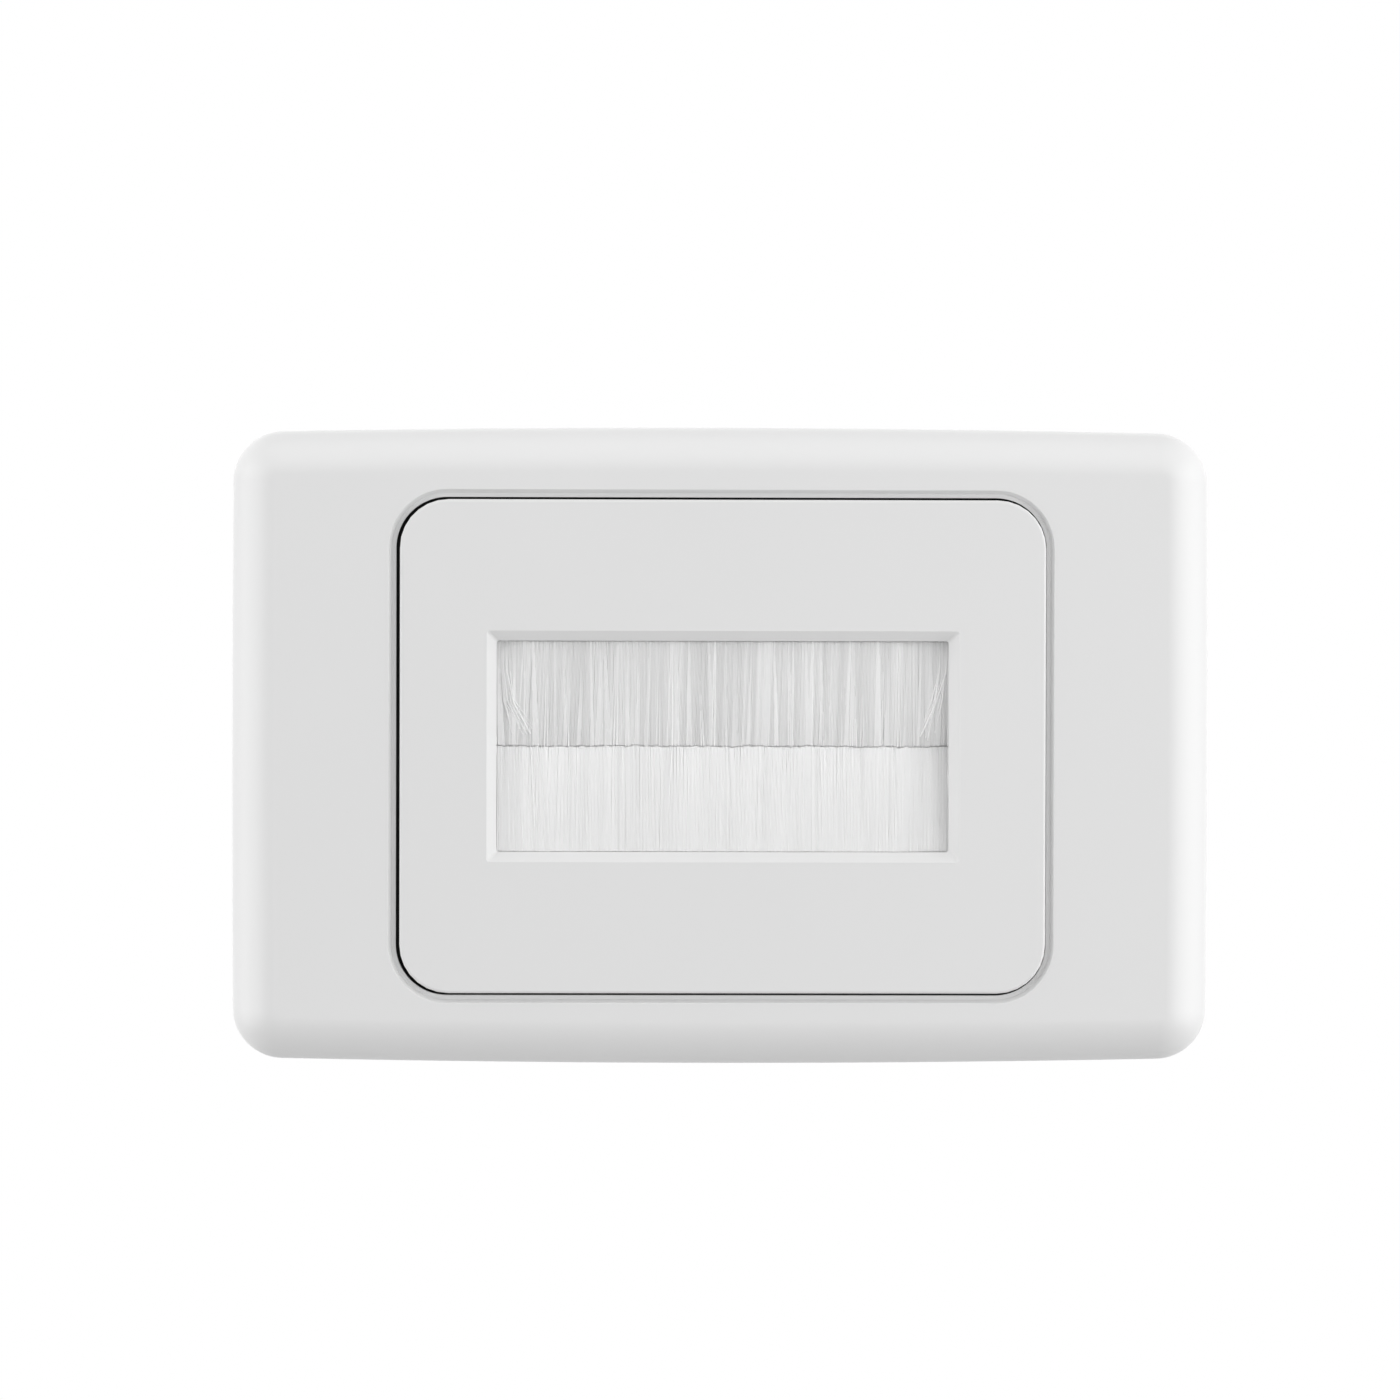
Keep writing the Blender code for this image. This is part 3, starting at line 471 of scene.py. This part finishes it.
def make_surround(material):
    """The clip-on surround: a bowed shell with a lipped opening, clip arms and a pry notch."""
    ledge_depth = FACE_DEPTH - LEDGE_DROP
    lip_rear = FACE_DEPTH - LIP_HEIGHT
    inner_depth = FACE_DEPTH - SHELL_WALL
    skirt = eased(
        (
            (SHELL_WALL / 2, 0, 0),
            (0, 0, SKIRT_EASE),
            (0, FACE_DEPTH - SHOULDER_HEIGHT, 0),
        )
    )
    outer = skirt[:-1] + shoulder_profile(SHOULDER_STEPS)
    outer.append((SHOULDER_WIDTH + CREST_HOLD, FACE_DEPTH))
    recess_margin = LEDGE_WIDTH + LEDGE_SLOPE
    opening = eased(
        (
            (recess_margin + CREST_HOLD, FACE_DEPTH, 0),
            (recess_margin, FACE_DEPTH, RECESS_EASE),
            (LEDGE_WIDTH, ledge_depth, 0),
            (0, ledge_depth, LEDGE_EASE),
            (0, lip_rear, HIDDEN_EASE),
            (LIP_WALL, lip_rear, HIDDEN_EASE),
            (LIP_WALL, inner_depth, 0),
        )
    )
    inner = [
        (inset + SHELL_WALL, depth - SHELL_WALL)
        for inset, depth in reversed(shoulder_profile(INNER_SHOULDER_STEPS))
    ]
    inner += eased(
        (
            (SHELL_WALL, FACE_DEPTH - SHOULDER_HEIGHT - SHELL_WALL - CREST_HOLD, 0),
            (SHELL_WALL, 0, SKIRT_EASE),
            (SHELL_WALL - SKIRT_EASE * 2, 0, 0),
        )
    )
    sections = [at_depth(plate_outline(inset), depth) for inset, depth in outer]
    sections += [at_depth(opening_outline(margin), depth) for margin, depth in opening]
    sections += [at_depth(plate_outline(inset), depth) for inset, depth in inner]
    surround = new_mesh_object("surround_shell", drawn_ring(sections))
    for side_x in (-1, 1):
        for side_z in (-1, 1):
            combined(surround, "UNION", clip_arm(side_x, side_z))
    outline = rounded_rectangle(
        NOTCH_WIDTH,
        SHELL_WALL + 2 * CUT_OVERRUN,
        SMALLEST_INNER_RADIUS,
        z=PLATE_LOW + SHELL_WALL / 2,
    )
    notch = swept(at_depth(outline, -CUT_OVERRUN), Vector((0, -CUT_OVERRUN - NOTCH_HEIGHT, 0)))
    combined(surround, "DIFFERENCE", notch)
    finished(surround, material, "white_plastic", "surround_cover")
    weight_normals(surround)


def softened_copy(node, name, reach, material, slot):
    """A node's own shape with its loose triangles merged and its crisp edges softened."""
    bm = bmesh.new()
    bm.from_mesh(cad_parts[node].data)
    bmesh.ops.remove_doubles(bm, verts=bm.verts, dist=WELD_DISTANCE)
    bmesh.ops.dissolve_limit(bm, angle_limit=FLAT_ANGLE, verts=bm.verts, edges=bm.edges)
    if reach:
        crisp = []
        for edge in bm.edges:
            nearby = [near.calc_length() for vert in edge.verts for near in vert.link_edges]
            bent = edge.is_manifold and edge.calc_face_angle(0) > SHARP_ANGLE
            if bent and min(nearby) > reach * EASE_ROOM:
                crisp.append(edge)
        bmesh.ops.bevel(
            bm,
            geom=crisp,
            affect="EDGES",
            offset=reach,
            offset_type="OFFSET",
            segments=BEVEL_SEGMENTS,
            profile=0.5,
            material=-1,
            clamp_overlap=True,
        )
    piece = new_mesh_object(name, bm)
    finished(piece, material, slot, node)
    weight_normals(piece)


def wavering(x, layer, waves, seed):
    """A smooth random sway along the strip: waves of a given length and height, summed."""
    return sum(
        height * noise.noise(Vector((x / length, layer * LAYER_CHANGE, seed + number * WAVE_APART)))
        for number, (length, height) in enumerate(waves)
    )


def make_locks(chance, unrest):
    """The locks of one layer, each with its ends, lean, spread, lift, bulge and tone."""
    locks = []
    start, last_side = BRISTLE_LEFT, 0.0
    while start < BRISTLE_RIGHT:
        end = start + chance.uniform(*LOCK_WIDTHS)
        spread = 1 + (chance.uniform(*LOCK_SPREADS) - 1) * unrest
        side = (spread - 1) * (end - start) / 2
        lean, lift, tone = (
            chance.uniform(-most, most) * unrest for most in (LOCK_LEAN, LOCK_LIFT, LOCK_TONE)
        )
        lean = min(lean, last_side + side)
        locks.append((start, end, lean, spread, lift, LOCK_BULGE * unrest, tone))
        start, last_side = end, lean + side
    return locks


def end_dip(x, flip):
    """How far the bundle sinks near the ends of the aperture, and how much painted shade darkens it
    there.
    """
    outwards = (GRID_X - x) if flip else (x - GRID_X)
    ease, sink, painted_end_shade = END_DIPS[1 if outwards > 0 else -1]
    inside = (APERTURE_WIDTH / 2 - abs(outwards)) / ease
    share = 1 - min(max(inside, 0), 1)
    return share * sink, share * painted_end_shade


def beside_the_wall(root_x, x, depth, flip):
    """A filament's place and depth, kept on its own side of the aperture's end wall."""
    side = 1 if root_x > GRID_X else -1
    wall = APERTURE_WIDTH / 2 - FILAMENT_RADIUS
    out = side * (x - GRID_X)
    if side * (root_x - GRID_X) > wall + FILAMENT_RADIUS:
        return GRID_X + side * max(out, wall), min(depth, PANEL_BACK - FILAMENT_ROOM)
    if out > wall - FILAMENT_PITCH / 2:
        out = wall
    return GRID_X + side * out, depth - end_dip(x, flip)[0]


def within_strip(x):
    """The nearest place at which a whole filament lies inside the strip's ends."""
    return min(max(x, BRISTLE_LEFT + FILAMENT_RADIUS), BRISTLE_RIGHT - FILAMENT_RADIUS)


def tip_height(x, flip, chance):
    """The height of a front tip, near the wandering line where the two strips meet."""
    seam = wavering(2 * GRID_X - x if flip else x, 0, SEAM_WAVES, 0)
    return (-seam if flip else seam) + SEAM_GAP + chance.random() * SEAM_UNEVEN


def filament_path(x, layer, lock, seed, flip, chance):
    """The points that one filament follows, from inside the channel's mouth to its tip."""
    front = LAYER_FRONTS[layer]
    start, end, lean, spread, lift, bulge, _ = lock
    middle = (start + end) / 2
    lift += bulge * (1 - (2 * (x - middle) / (end - start)) ** 2)
    aside = (x - middle) * (spread - 1) + lean + wavering(x, layer, WAVES, seed)
    aside *= min(x - BRISTLE_LEFT, BRISTLE_RIGHT - x, EDGE_CALM) / EDGE_CALM
    tip_x = within_strip(x + aside + chance.uniform(-FILAMENT_JITTER, FILAMENT_JITTER))
    tip_z = tip_height(tip_x, flip, chance)
    if layer < LAYERS - SEAM_LAYERS:
        crossing = 1 if (layer + flip) % 2 else -1
        tip_z += crossing * (SEAM_STEP + REAR_STEP * (1 - front))
    root_x = x + chance.uniform(-FILAMENT_JITTER, FILAMENT_JITTER)
    root_depth = BUNDLE[0][3] + (BUNDLE[0][1] - BUNDLE[0][3]) * front
    path = [Vector((root_x, -root_depth, NECK_Z + NECK_ROOT))]
    for share, *fronts, rear_depth in BUNDLE:
        risen = lift * share**LIFT_CURVE * (1 - (1 - LIFT_KEPT) * share)
        depth = rear_depth + (fronts[flip] - rear_depth) * front + risen
        place = root_x + (tip_x - root_x) * share**LEAN_CURVE
        place, depth = beside_the_wall(root_x, place, depth, flip)
        path.append(Vector((place, -depth, NECK_Z + (tip_z - NECK_Z) * share)))
    return path


def clump_path(side, shape, chance):
    """A filament that splays away from an end of the aperture, in front of the others."""
    end = GRID_X + side * APERTURE_WIDTH / 2
    root_in, tip_in, bend_z, tip_z = (
        value + chance.uniform(*stray) for value, stray in zip(shape, CLUMP_STRAYS)
    )
    proud = chance.uniform(*CLUMP_PROUD)
    path = [Vector((end - side * root_in, -CLUMP_LINE[0][1], NECK_Z + NECK_ROOT))]
    for share, front_depth in CLUMP_LINE:
        z = NECK_Z + (tip_z - NECK_Z) * share
        bent = max(bend_z - z, 0) / (bend_z - tip_z)
        place = end - side * (root_in + (tip_in - root_in) * bent**CLUMP_CURVE)
        place, depth = beside_the_wall(GRID_X, place, front_depth + proud * share, False)
        path.append(Vector((place, -depth - proud * bent, z)))
    return path


def tuft_filaments(middle, flip, chance):
    """A tuft that fans out in front of the others, each filament as its path and its tone."""
    count = chance.randint(*TUFT_COUNTS)
    spread = chance.uniform(*TUFT_SPREADS)
    proud, tip_proud = chance.uniform(*TUFT_ROOT_PROUD), chance.uniform(*TUFT_TIP_PROUD)
    tone = chance.uniform(*TUFT_TONES)
    reach = chance.uniform(-TUFT_REACH, TUFT_REACH)
    lean = chance.uniform(-TUFT_LEAN, TUFT_LEAN)
    filaments = []
    for number in range(count):
        aside = number / (count - 1) - 0.5
        root_x = middle + aside * TUFT_ROOT
        tip_x = within_strip(middle + lean + aside * spread)
        tip_z = tip_height(tip_x, flip, chance) + reach
        path = [Vector((root_x, -BUNDLE[0][1], NECK_Z + NECK_ROOT))]
        for share, *fronts, _ in BUNDLE:
            place = root_x + (tip_x - root_x) * share
            depth = fronts[flip] + proud + (tip_proud - proud) * share
            place, depth = beside_the_wall(root_x, place, depth, flip)
            path.append(Vector((place, -depth, NECK_Z + (tip_z - NECK_Z) * share)))
        # The tuft's tone, less the painted shade near the aperture's ends.
        filaments.append((path, tone - end_dip(root_x, flip)[1]))
    return filaments


def row_filaments(seed, flip, unrest, row_painted_light, chance):
    """A strip's even layers of filaments, each filament as its path and its tone."""
    filaments = []
    count = round((BRISTLE_RIGHT - BRISTLE_LEFT - 2 * FILAMENT_RADIUS) / FILAMENT_PITCH)
    for layer in range(LAYERS):
        locks = make_locks(chance, unrest)
        for place in range(count):
            offset = (place + 0.5 * (layer % 2)) * FILAMENT_PITCH
            x = BRISTLE_LEFT + FILAMENT_RADIUS + offset
            lock = next((lock for lock in locks if x < lock[1]), locks[-1])
            # The row's base tone is painted light and shade; the waves, locks and single filaments
            # add random tone.
            shade = row_painted_light + unrest * wavering(x, layer, TONE_WAVES, seed) + lock[-1]
            # Painted shade near the aperture's ends.
            shade -= end_dip(x, flip)[1]
            shade += unrest * chance.uniform(-FILAMENT_TONE, FILAMENT_TONE)
            filaments.append((filament_path(x, layer, lock, seed, flip, chance), shade))
    return filaments


def strip_filaments(seed, flip, unrest, row_painted_light, tufts, clumps, chance):
    """All filaments of a strip: its even layers, its clumps and its tufts."""
    filaments = row_filaments(seed, flip, unrest, row_painted_light, chance)
    for side, *shape, count in clumps:
        for _ in range(count):
            path = clump_path(side, shape, chance)
            filaments.append((path, chance.uniform(*CLUMP_TONES)))
    for tuft in range(tufts):
        along = (tuft + chance.uniform(*TUFT_PLACES)) / (tufts + 1)
        middle = BRISTLE_LEFT + (BRISTLE_RIGHT - BRISTLE_LEFT) * along
        filaments += tuft_filaments(middle, flip, chance)
    return filaments


def drawn_filaments(filaments, chance):
    """Small polygons, drawn out all together along their filaments' paths."""
    bm = bmesh.new()
    number = bm.verts.layers.int.new("filament")
    tone = bm.verts.layers.float.new("tone")
    across = bm.verts.layers.float_vector.new("across")
    for index, (path, shade) in enumerate(filaments):
        turned = Matrix.Rotation(chance.uniform(-FILAMENT_TURN, FILAMENT_TURN), 4, "Z")
        corners = bmesh.ops.create_circle(
            bm,
            cap_ends=True,
            segments=FILAMENT_SIDES,
            radius=FILAMENT_RADIUS,
            matrix=Matrix.Translation(path[0]) @ turned,
        )["verts"]
        for vert in corners:
            vert[number] = index
            vert[tone] = shade
            vert[across] = vert.co - path[0]
    tips = bm.faces[:]
    down = Vector((0, 0, -1))
    for step in range(1, len(BUNDLE) + 1):
        tips = bmesh.ops.extrude_discrete_faces(bm, faces=tips)["faces"]
        for tip in tips:
            path = filaments[tip.verts[0][number]][0]
            along = path[min(step + 1, len(BUNDLE))] - path[step - 1]
            turn = down.rotation_difference(along)
            for vert in tip.verts:
                vert.co = path[step] + turn @ vert[across]
    bmesh.ops.recalc_face_normals(bm, faces=bm.faces)
    for face in bm.faces:
        face.smooth = True
    for edge in {edge for tip in tips for edge in tip.edges}:
        edge.smooth = False
    return bm


def make_bristles(place, material):
    """One strip's filaments, the lower strip's made as an upper one's and turned over."""
    strip = STRIPS[place]
    chance = random.Random(strip["seed"])
    bm = drawn_filaments(strip_filaments(**strip, chance=chance), chance)
    if strip["flip"]:
        turn = Matrix.Rotation(math.pi, 4, "Y")
        middle = Matrix.Translation((GRID_X, 0, 0))
        bmesh.ops.transform(bm, matrix=middle @ turn @ middle.inverted(), verts=bm.verts)
    piece = new_mesh_object(f"{place}_filaments", bm)
    finished(piece, material, "bristle_nylon", f"{place}_bristles", crisp=False)


def new_material(name, colour, roughness, metallic=0.0):
    """A plain material, with its node tree and its shader for further nodes."""
    material = bpy.data.materials.new(name)
    material.use_nodes = True
    shader = material.node_tree.nodes["Principled BSDF"]
    shader.inputs["Base Color"].default_value = (*colour, 1.0)
    shader.inputs["Roughness"].default_value = roughness
    shader.inputs["Metallic"].default_value = metallic
    return material, material.node_tree, shader


def vector_step(tree, operation, source, value=None):
    """One vector operation on a socket, with a constant as its second term."""
    step = tree.nodes.new("ShaderNodeVectorMath")
    step.operation = operation
    tree.links.new(source, step.inputs[0])
    if value:
        step.inputs[1].default_value = value
    return step.outputs["Value" if operation == "LENGTH" else "Vector"]


def ranged(tree, source, start, end, low=0.0, high=1.0):
    """A socket's value mapped smoothly from one range to another."""
    step = tree.nodes.new("ShaderNodeMapRange")
    step.interpolation_type = "SMOOTHSTEP"
    for key, value in zip(("From Min", "From Max", "To Min", "To Max"), (start, end, low, high)):
        step.inputs[key].default_value = value
    tree.links.new(source, step.inputs["Value"])
    return step.outputs["Result"]


def combination(tree, operation, first, second):
    """Two sockets, or a socket and a constant, taken together by one operation."""
    step = tree.nodes.new("ShaderNodeMath")
    step.operation = operation
    tree.links.new(first, step.inputs[0])
    if isinstance(second, float):
        step.inputs[1].default_value = second
    else:
        tree.links.new(second, step.inputs[1])
    return step.outputs[0]


def painted_slot_shade(tree, place):
    """How much painted shade a point gets in the slot round the raised panel, from 0 in the open to
    1.
    """
    corner = (OPENING_WIDTH / 2 - OPENING_RADIUS, 0, OPENING_HEIGHT / 2 - OPENING_RADIUS)
    mirrored = vector_step(tree, "ABSOLUTE", place)
    beyond = vector_step(tree, "SUBTRACT", mirrored, corner)
    outside = vector_step(tree, "MAXIMUM", beyond, (0, 0, 0))
    level = vector_step(tree, "MULTIPLY", outside, (1, 0, 1))
    reach = vector_step(tree, "LENGTH", level)
    nearest, farthest = OPENING_RADIUS - SLOT_BAND[0], OPENING_RADIUS + SLOT_BAND[1]
    inner = ranged(tree, reach, nearest - SLOT_BLEND, nearest)
    outer = ranged(tree, reach, farthest + SLOT_BLEND, farthest)
    depth = tree.nodes.new("ShaderNodeSeparateXYZ")
    tree.links.new(place, depth.inputs["Vector"])
    deep = ranged(tree, depth.outputs["Y"], -SLOT_TOP, -SLOT_DARK)
    beside = combination(tree, "MULTIPLY", inner, outer)
    return combination(tree, "MULTIPLY", beside, deep)


def moulded_plastic(name, colour, roughness, paints_slot_shade=False):
    """Satin moulded plastic: faint cloudiness in its colour, a fine eroded grain and, if asked,
    painted shade deep in the slot round the raised panel.
    """
    material, tree, shader = new_material(name, colour, roughness)
    place = tree.nodes.new("ShaderNodeTexCoord")
    clouds = tree.nodes.new("ShaderNodeTexNoise")
    clouds.inputs["Scale"].default_value = CLOUD_SCALE
    clouds.inputs["Detail"].default_value = CLOUD_DETAIL
    shades = tree.nodes.new("ShaderNodeValToRGB")
    for element, share in zip(shades.color_ramp.elements, (1 - CLOUD_SHARE, 1 + CLOUD_SHARE)):
        element.color = (*[part * share for part in colour], 1.0)
    grain = tree.nodes.new("ShaderNodeTexNoise")
    grain.inputs["Scale"].default_value = GRAIN_SCALE
    bump = tree.nodes.new("ShaderNodeBump")
    bump.inputs["Strength"].default_value = GRAIN_STRENGTH
    bump.inputs["Distance"].default_value = GRAIN_HEIGHT
    link = tree.links.new
    link(place.outputs["Object"], clouds.inputs["Vector"])
    link(place.outputs["Object"], grain.inputs["Vector"])
    link(clouds.outputs["Fac"], shades.inputs["Fac"])
    shown = shades.outputs["Color"]
    # Painted shade: deep in the slot round the panel the colour falls to a small share of itself.
    if paints_slot_shade:
        dim = tree.nodes.new("ShaderNodeMix")
        dim.data_type = "RGBA"
        dim.inputs["B"].default_value = (*[part * SLOT_PAINTED_SHADE for part in colour], 1.0)
        link(painted_slot_shade(tree, place.outputs["Object"]), dim.inputs["Factor"])
        link(shown, dim.inputs["A"])
        shown = dim.outputs["Result"]
    link(shown, shader.inputs["Base Color"])
    link(grain.outputs["Fac"], bump.inputs["Height"])
    link(bump.outputs["Normal"], shader.inputs["Normal"])
    return material


def filament_nylon(name, dark, light, roughness):
    """White nylon whose tone differs a little from lock to lock and filament to filament, with
    painted shade near the aperture's ends and painted light that makes the lower strip lighter than
    the upper.
    """
    material, tree, shader = new_material(name, light, roughness)
    tone = tree.nodes.new("ShaderNodeAttribute")
    tone.attribute_name = "tone"
    shades = tree.nodes.new("ShaderNodeValToRGB")
    shades.color_ramp.elements[0].color = (*dark, 1.0)
    shades.color_ramp.elements[1].color = (*light, 1.0)
    tree.links.new(tone.outputs["Fac"], shades.inputs["Fac"])
    tree.links.new(shades.outputs["Color"], shader.inputs["Base Color"])
    return material


def studio_world():
    """An even pale surround, plain white to the camera and dimmer below as over a floor."""
    world = bpy.data.worlds.new("studio")
    bpy.context.scene.world = world
    world.use_nodes = True
    tree = world.node_tree
    tree.nodes.clear()
    out = tree.nodes.new("ShaderNodeOutputWorld")
    lit, mirrored, seen = (tree.nodes.new("ShaderNodeBackground") for _ in range(3))
    for background in (lit, mirrored, seen):
        background.inputs["Color"].default_value = (1, 1, 1, 1)
    direction = tree.nodes.new("ShaderNodeTexCoord")
    height = tree.nodes.new("ShaderNodeSeparateXYZ")
    ray = tree.nodes.new("ShaderNodeLightPath")
    by_mirror = tree.nodes.new("ShaderNodeMixShader")
    by_camera = tree.nodes.new("ShaderNodeMixShader")
    link = tree.links.new
    link(direction.outputs["Generated"], height.inputs["Vector"])
    level = ranged(tree, height.outputs["Z"], -GROUND_BLEND, GROUND_BLEND, GROUND_SHARE, 1.0)
    link(combination(tree, "MULTIPLY", level, AMBIENT_LEVEL), lit.inputs["Strength"])
    link(level, mirrored.inputs["Strength"])
    link(ray.outputs["Is Glossy Ray"], by_mirror.inputs["Fac"])
    link(lit.outputs[0], by_mirror.inputs[1])
    link(mirrored.outputs[0], by_mirror.inputs[2])
    straight = (ray.outputs["Is Camera Ray"], ray.outputs["Is Transmission Ray"])
    link(combination(tree, "MAXIMUM", *straight), by_camera.inputs["Fac"])
    link(by_mirror.outputs[0], by_camera.inputs[1])
    link(seen.outputs[0], by_camera.inputs[2])
    link(by_camera.outputs[0], out.inputs["Surface"])


def soft_lamp(name, direction, distance, level):
    """A square soft lamp, aimed at the plate, of a given level on a surface that faces it."""
    light = bpy.data.lights.new(name, "AREA")
    light.shape = "SQUARE"
    light.size = LAMP_SPREAD * distance
    light.energy = level * (math.pi * distance) ** 2
    lamp = bpy.data.objects.new(name, light)
    lamp.location = direction * distance
    lamp.rotation_euler = direction.to_track_quat("Z", "Y").to_euler()
    bpy.context.scene.collection.objects.link(lamp)


def studio_lamps():
    """Soft lamps that graze the face from the right, the left and above, and one behind."""
    for name, ((x, z), tilt, distance, level) in LAMPS.items():
        across, ahead = math.sin(math.radians(tilt)), math.cos(math.radians(tilt))
        soft_lamp(name, Vector((x * across, -ahead, z * across)), distance, level)


def studio_floor():
    """A pale disc below the plate that fades out towards its rim."""
    bm = bmesh.new()
    bmesh.ops.create_circle(bm, cap_ends=True, segments=FLOOR_SIDES, radius=FLOOR_RADIUS)
    bmesh.ops.translate(bm, vec=(0, 0, PLATE_LOW - FLOOR_DROP), verts=bm.verts)
    floor = new_mesh_object("floor", bm)
    material, tree, shader = new_material("pale_floor", FLOOR_COLOUR, FLOOR_ROUGHNESS)
    place = tree.nodes.new("ShaderNodeTexCoord").outputs["Object"]
    reach = vector_step(tree, "LENGTH", vector_step(tree, "MULTIPLY", place, (1, 1, 0)))
    fade = ranged(tree, reach, FLOOR_RADIUS, FLOOR_RADIUS * FLOOR_SOLID)
    tree.links.new(fade, shader.inputs["Alpha"])
    floor.data.materials.append(material)
    floor.visible_diffuse = False


def studio_camera():
    """A long lens at the photograph's distance and angle."""
    camera = bpy.data.cameras.new("camera")
    camera.sensor_width = SENSOR_WIDTH
    seen_width = PHOTO_PIXELS / PIXELS_PER_MM * MM
    camera.lens = SENSOR_WIDTH * CAMERA_DISTANCE / seen_width
    camera.clip_end = CAMERA_REACH
    holder = bpy.data.objects.new("camera", camera)
    away = Vector(
        (
            -math.sin(CAMERA_YAW) * math.cos(CAMERA_PITCH),
            -math.cos(CAMERA_YAW) * math.cos(CAMERA_PITCH),
            math.sin(CAMERA_PITCH),
        )
    )
    turned = away.to_track_quat("Z", "Y").to_matrix().to_4x4()
    turned @= Matrix.Rotation(CAMERA_ROLL, 4, "Z")
    holder.matrix_world = Matrix.Translation(AIM + away * CAMERA_DISTANCE) @ turned
    bpy.context.scene.collection.objects.link(holder)
    bpy.context.scene.camera = holder


studio_camera()
studio_world()
studio_lamps()
studio_floor()

# The white plastic carries the painted shade in the slot round the panel.
WHITE_PLASTIC = moulded_plastic("white_plastic", (0.76, 0.76, 0.76), 0.4, paints_slot_shade=True)
BAR_PLASTIC = moulded_plastic("bar_plastic", (0.62, 0.62, 0.61), 0.5)
CHANNEL_METAL, _, _ = new_material("channel_metal", (0.78, 0.78, 0.78), 0.35, 1.0)
WIRE_STEEL, _, _ = new_material("wire_steel", (0.55, 0.55, 0.56), 0.35, 1.0)
SCREW_STEEL, _, _ = new_material("screw_steel", (0.66, 0.66, 0.67), 0.45, 1.0)
BRISTLE_NYLON = filament_nylon("bristle_nylon", (0.8, 0.8, 0.8), (0.99, 0.99, 0.99), 0.45)

make_surround(WHITE_PLASTIC)
softened_copy("grid_plate", "grid_moulding", MOULDED_EASE, WHITE_PLASTIC, "white_plastic")
for place in STRIPS:
    make_bristles(place, BRISTLE_NYLON)

HELD_PIECES = (
    ("clamp_bar", "bar", BAR_EASE, BAR_PLASTIC, "bar_plastic"),
    ("brush_channel", "channel", SHEET_EASE, CHANNEL_METAL, "channel_metal"),
    ("core_wire", "wire", 0, WIRE_STEEL, "wire_steel"),
    ("clamp_screw_1", "screw_1", SCREW_EASE, SCREW_STEEL, "screw_steel"),
    ("clamp_screw_2", "screw_2", SCREW_EASE, SCREW_STEEL, "screw_steel"),
)
for place in STRIPS:
    for node, name, reach, material, slot in HELD_PIECES:
        softened_copy(f"{place}_{node}", f"{place}_{name}", reach, material, slot)

bpy.context.scene.view_settings.view_transform = "Standard"
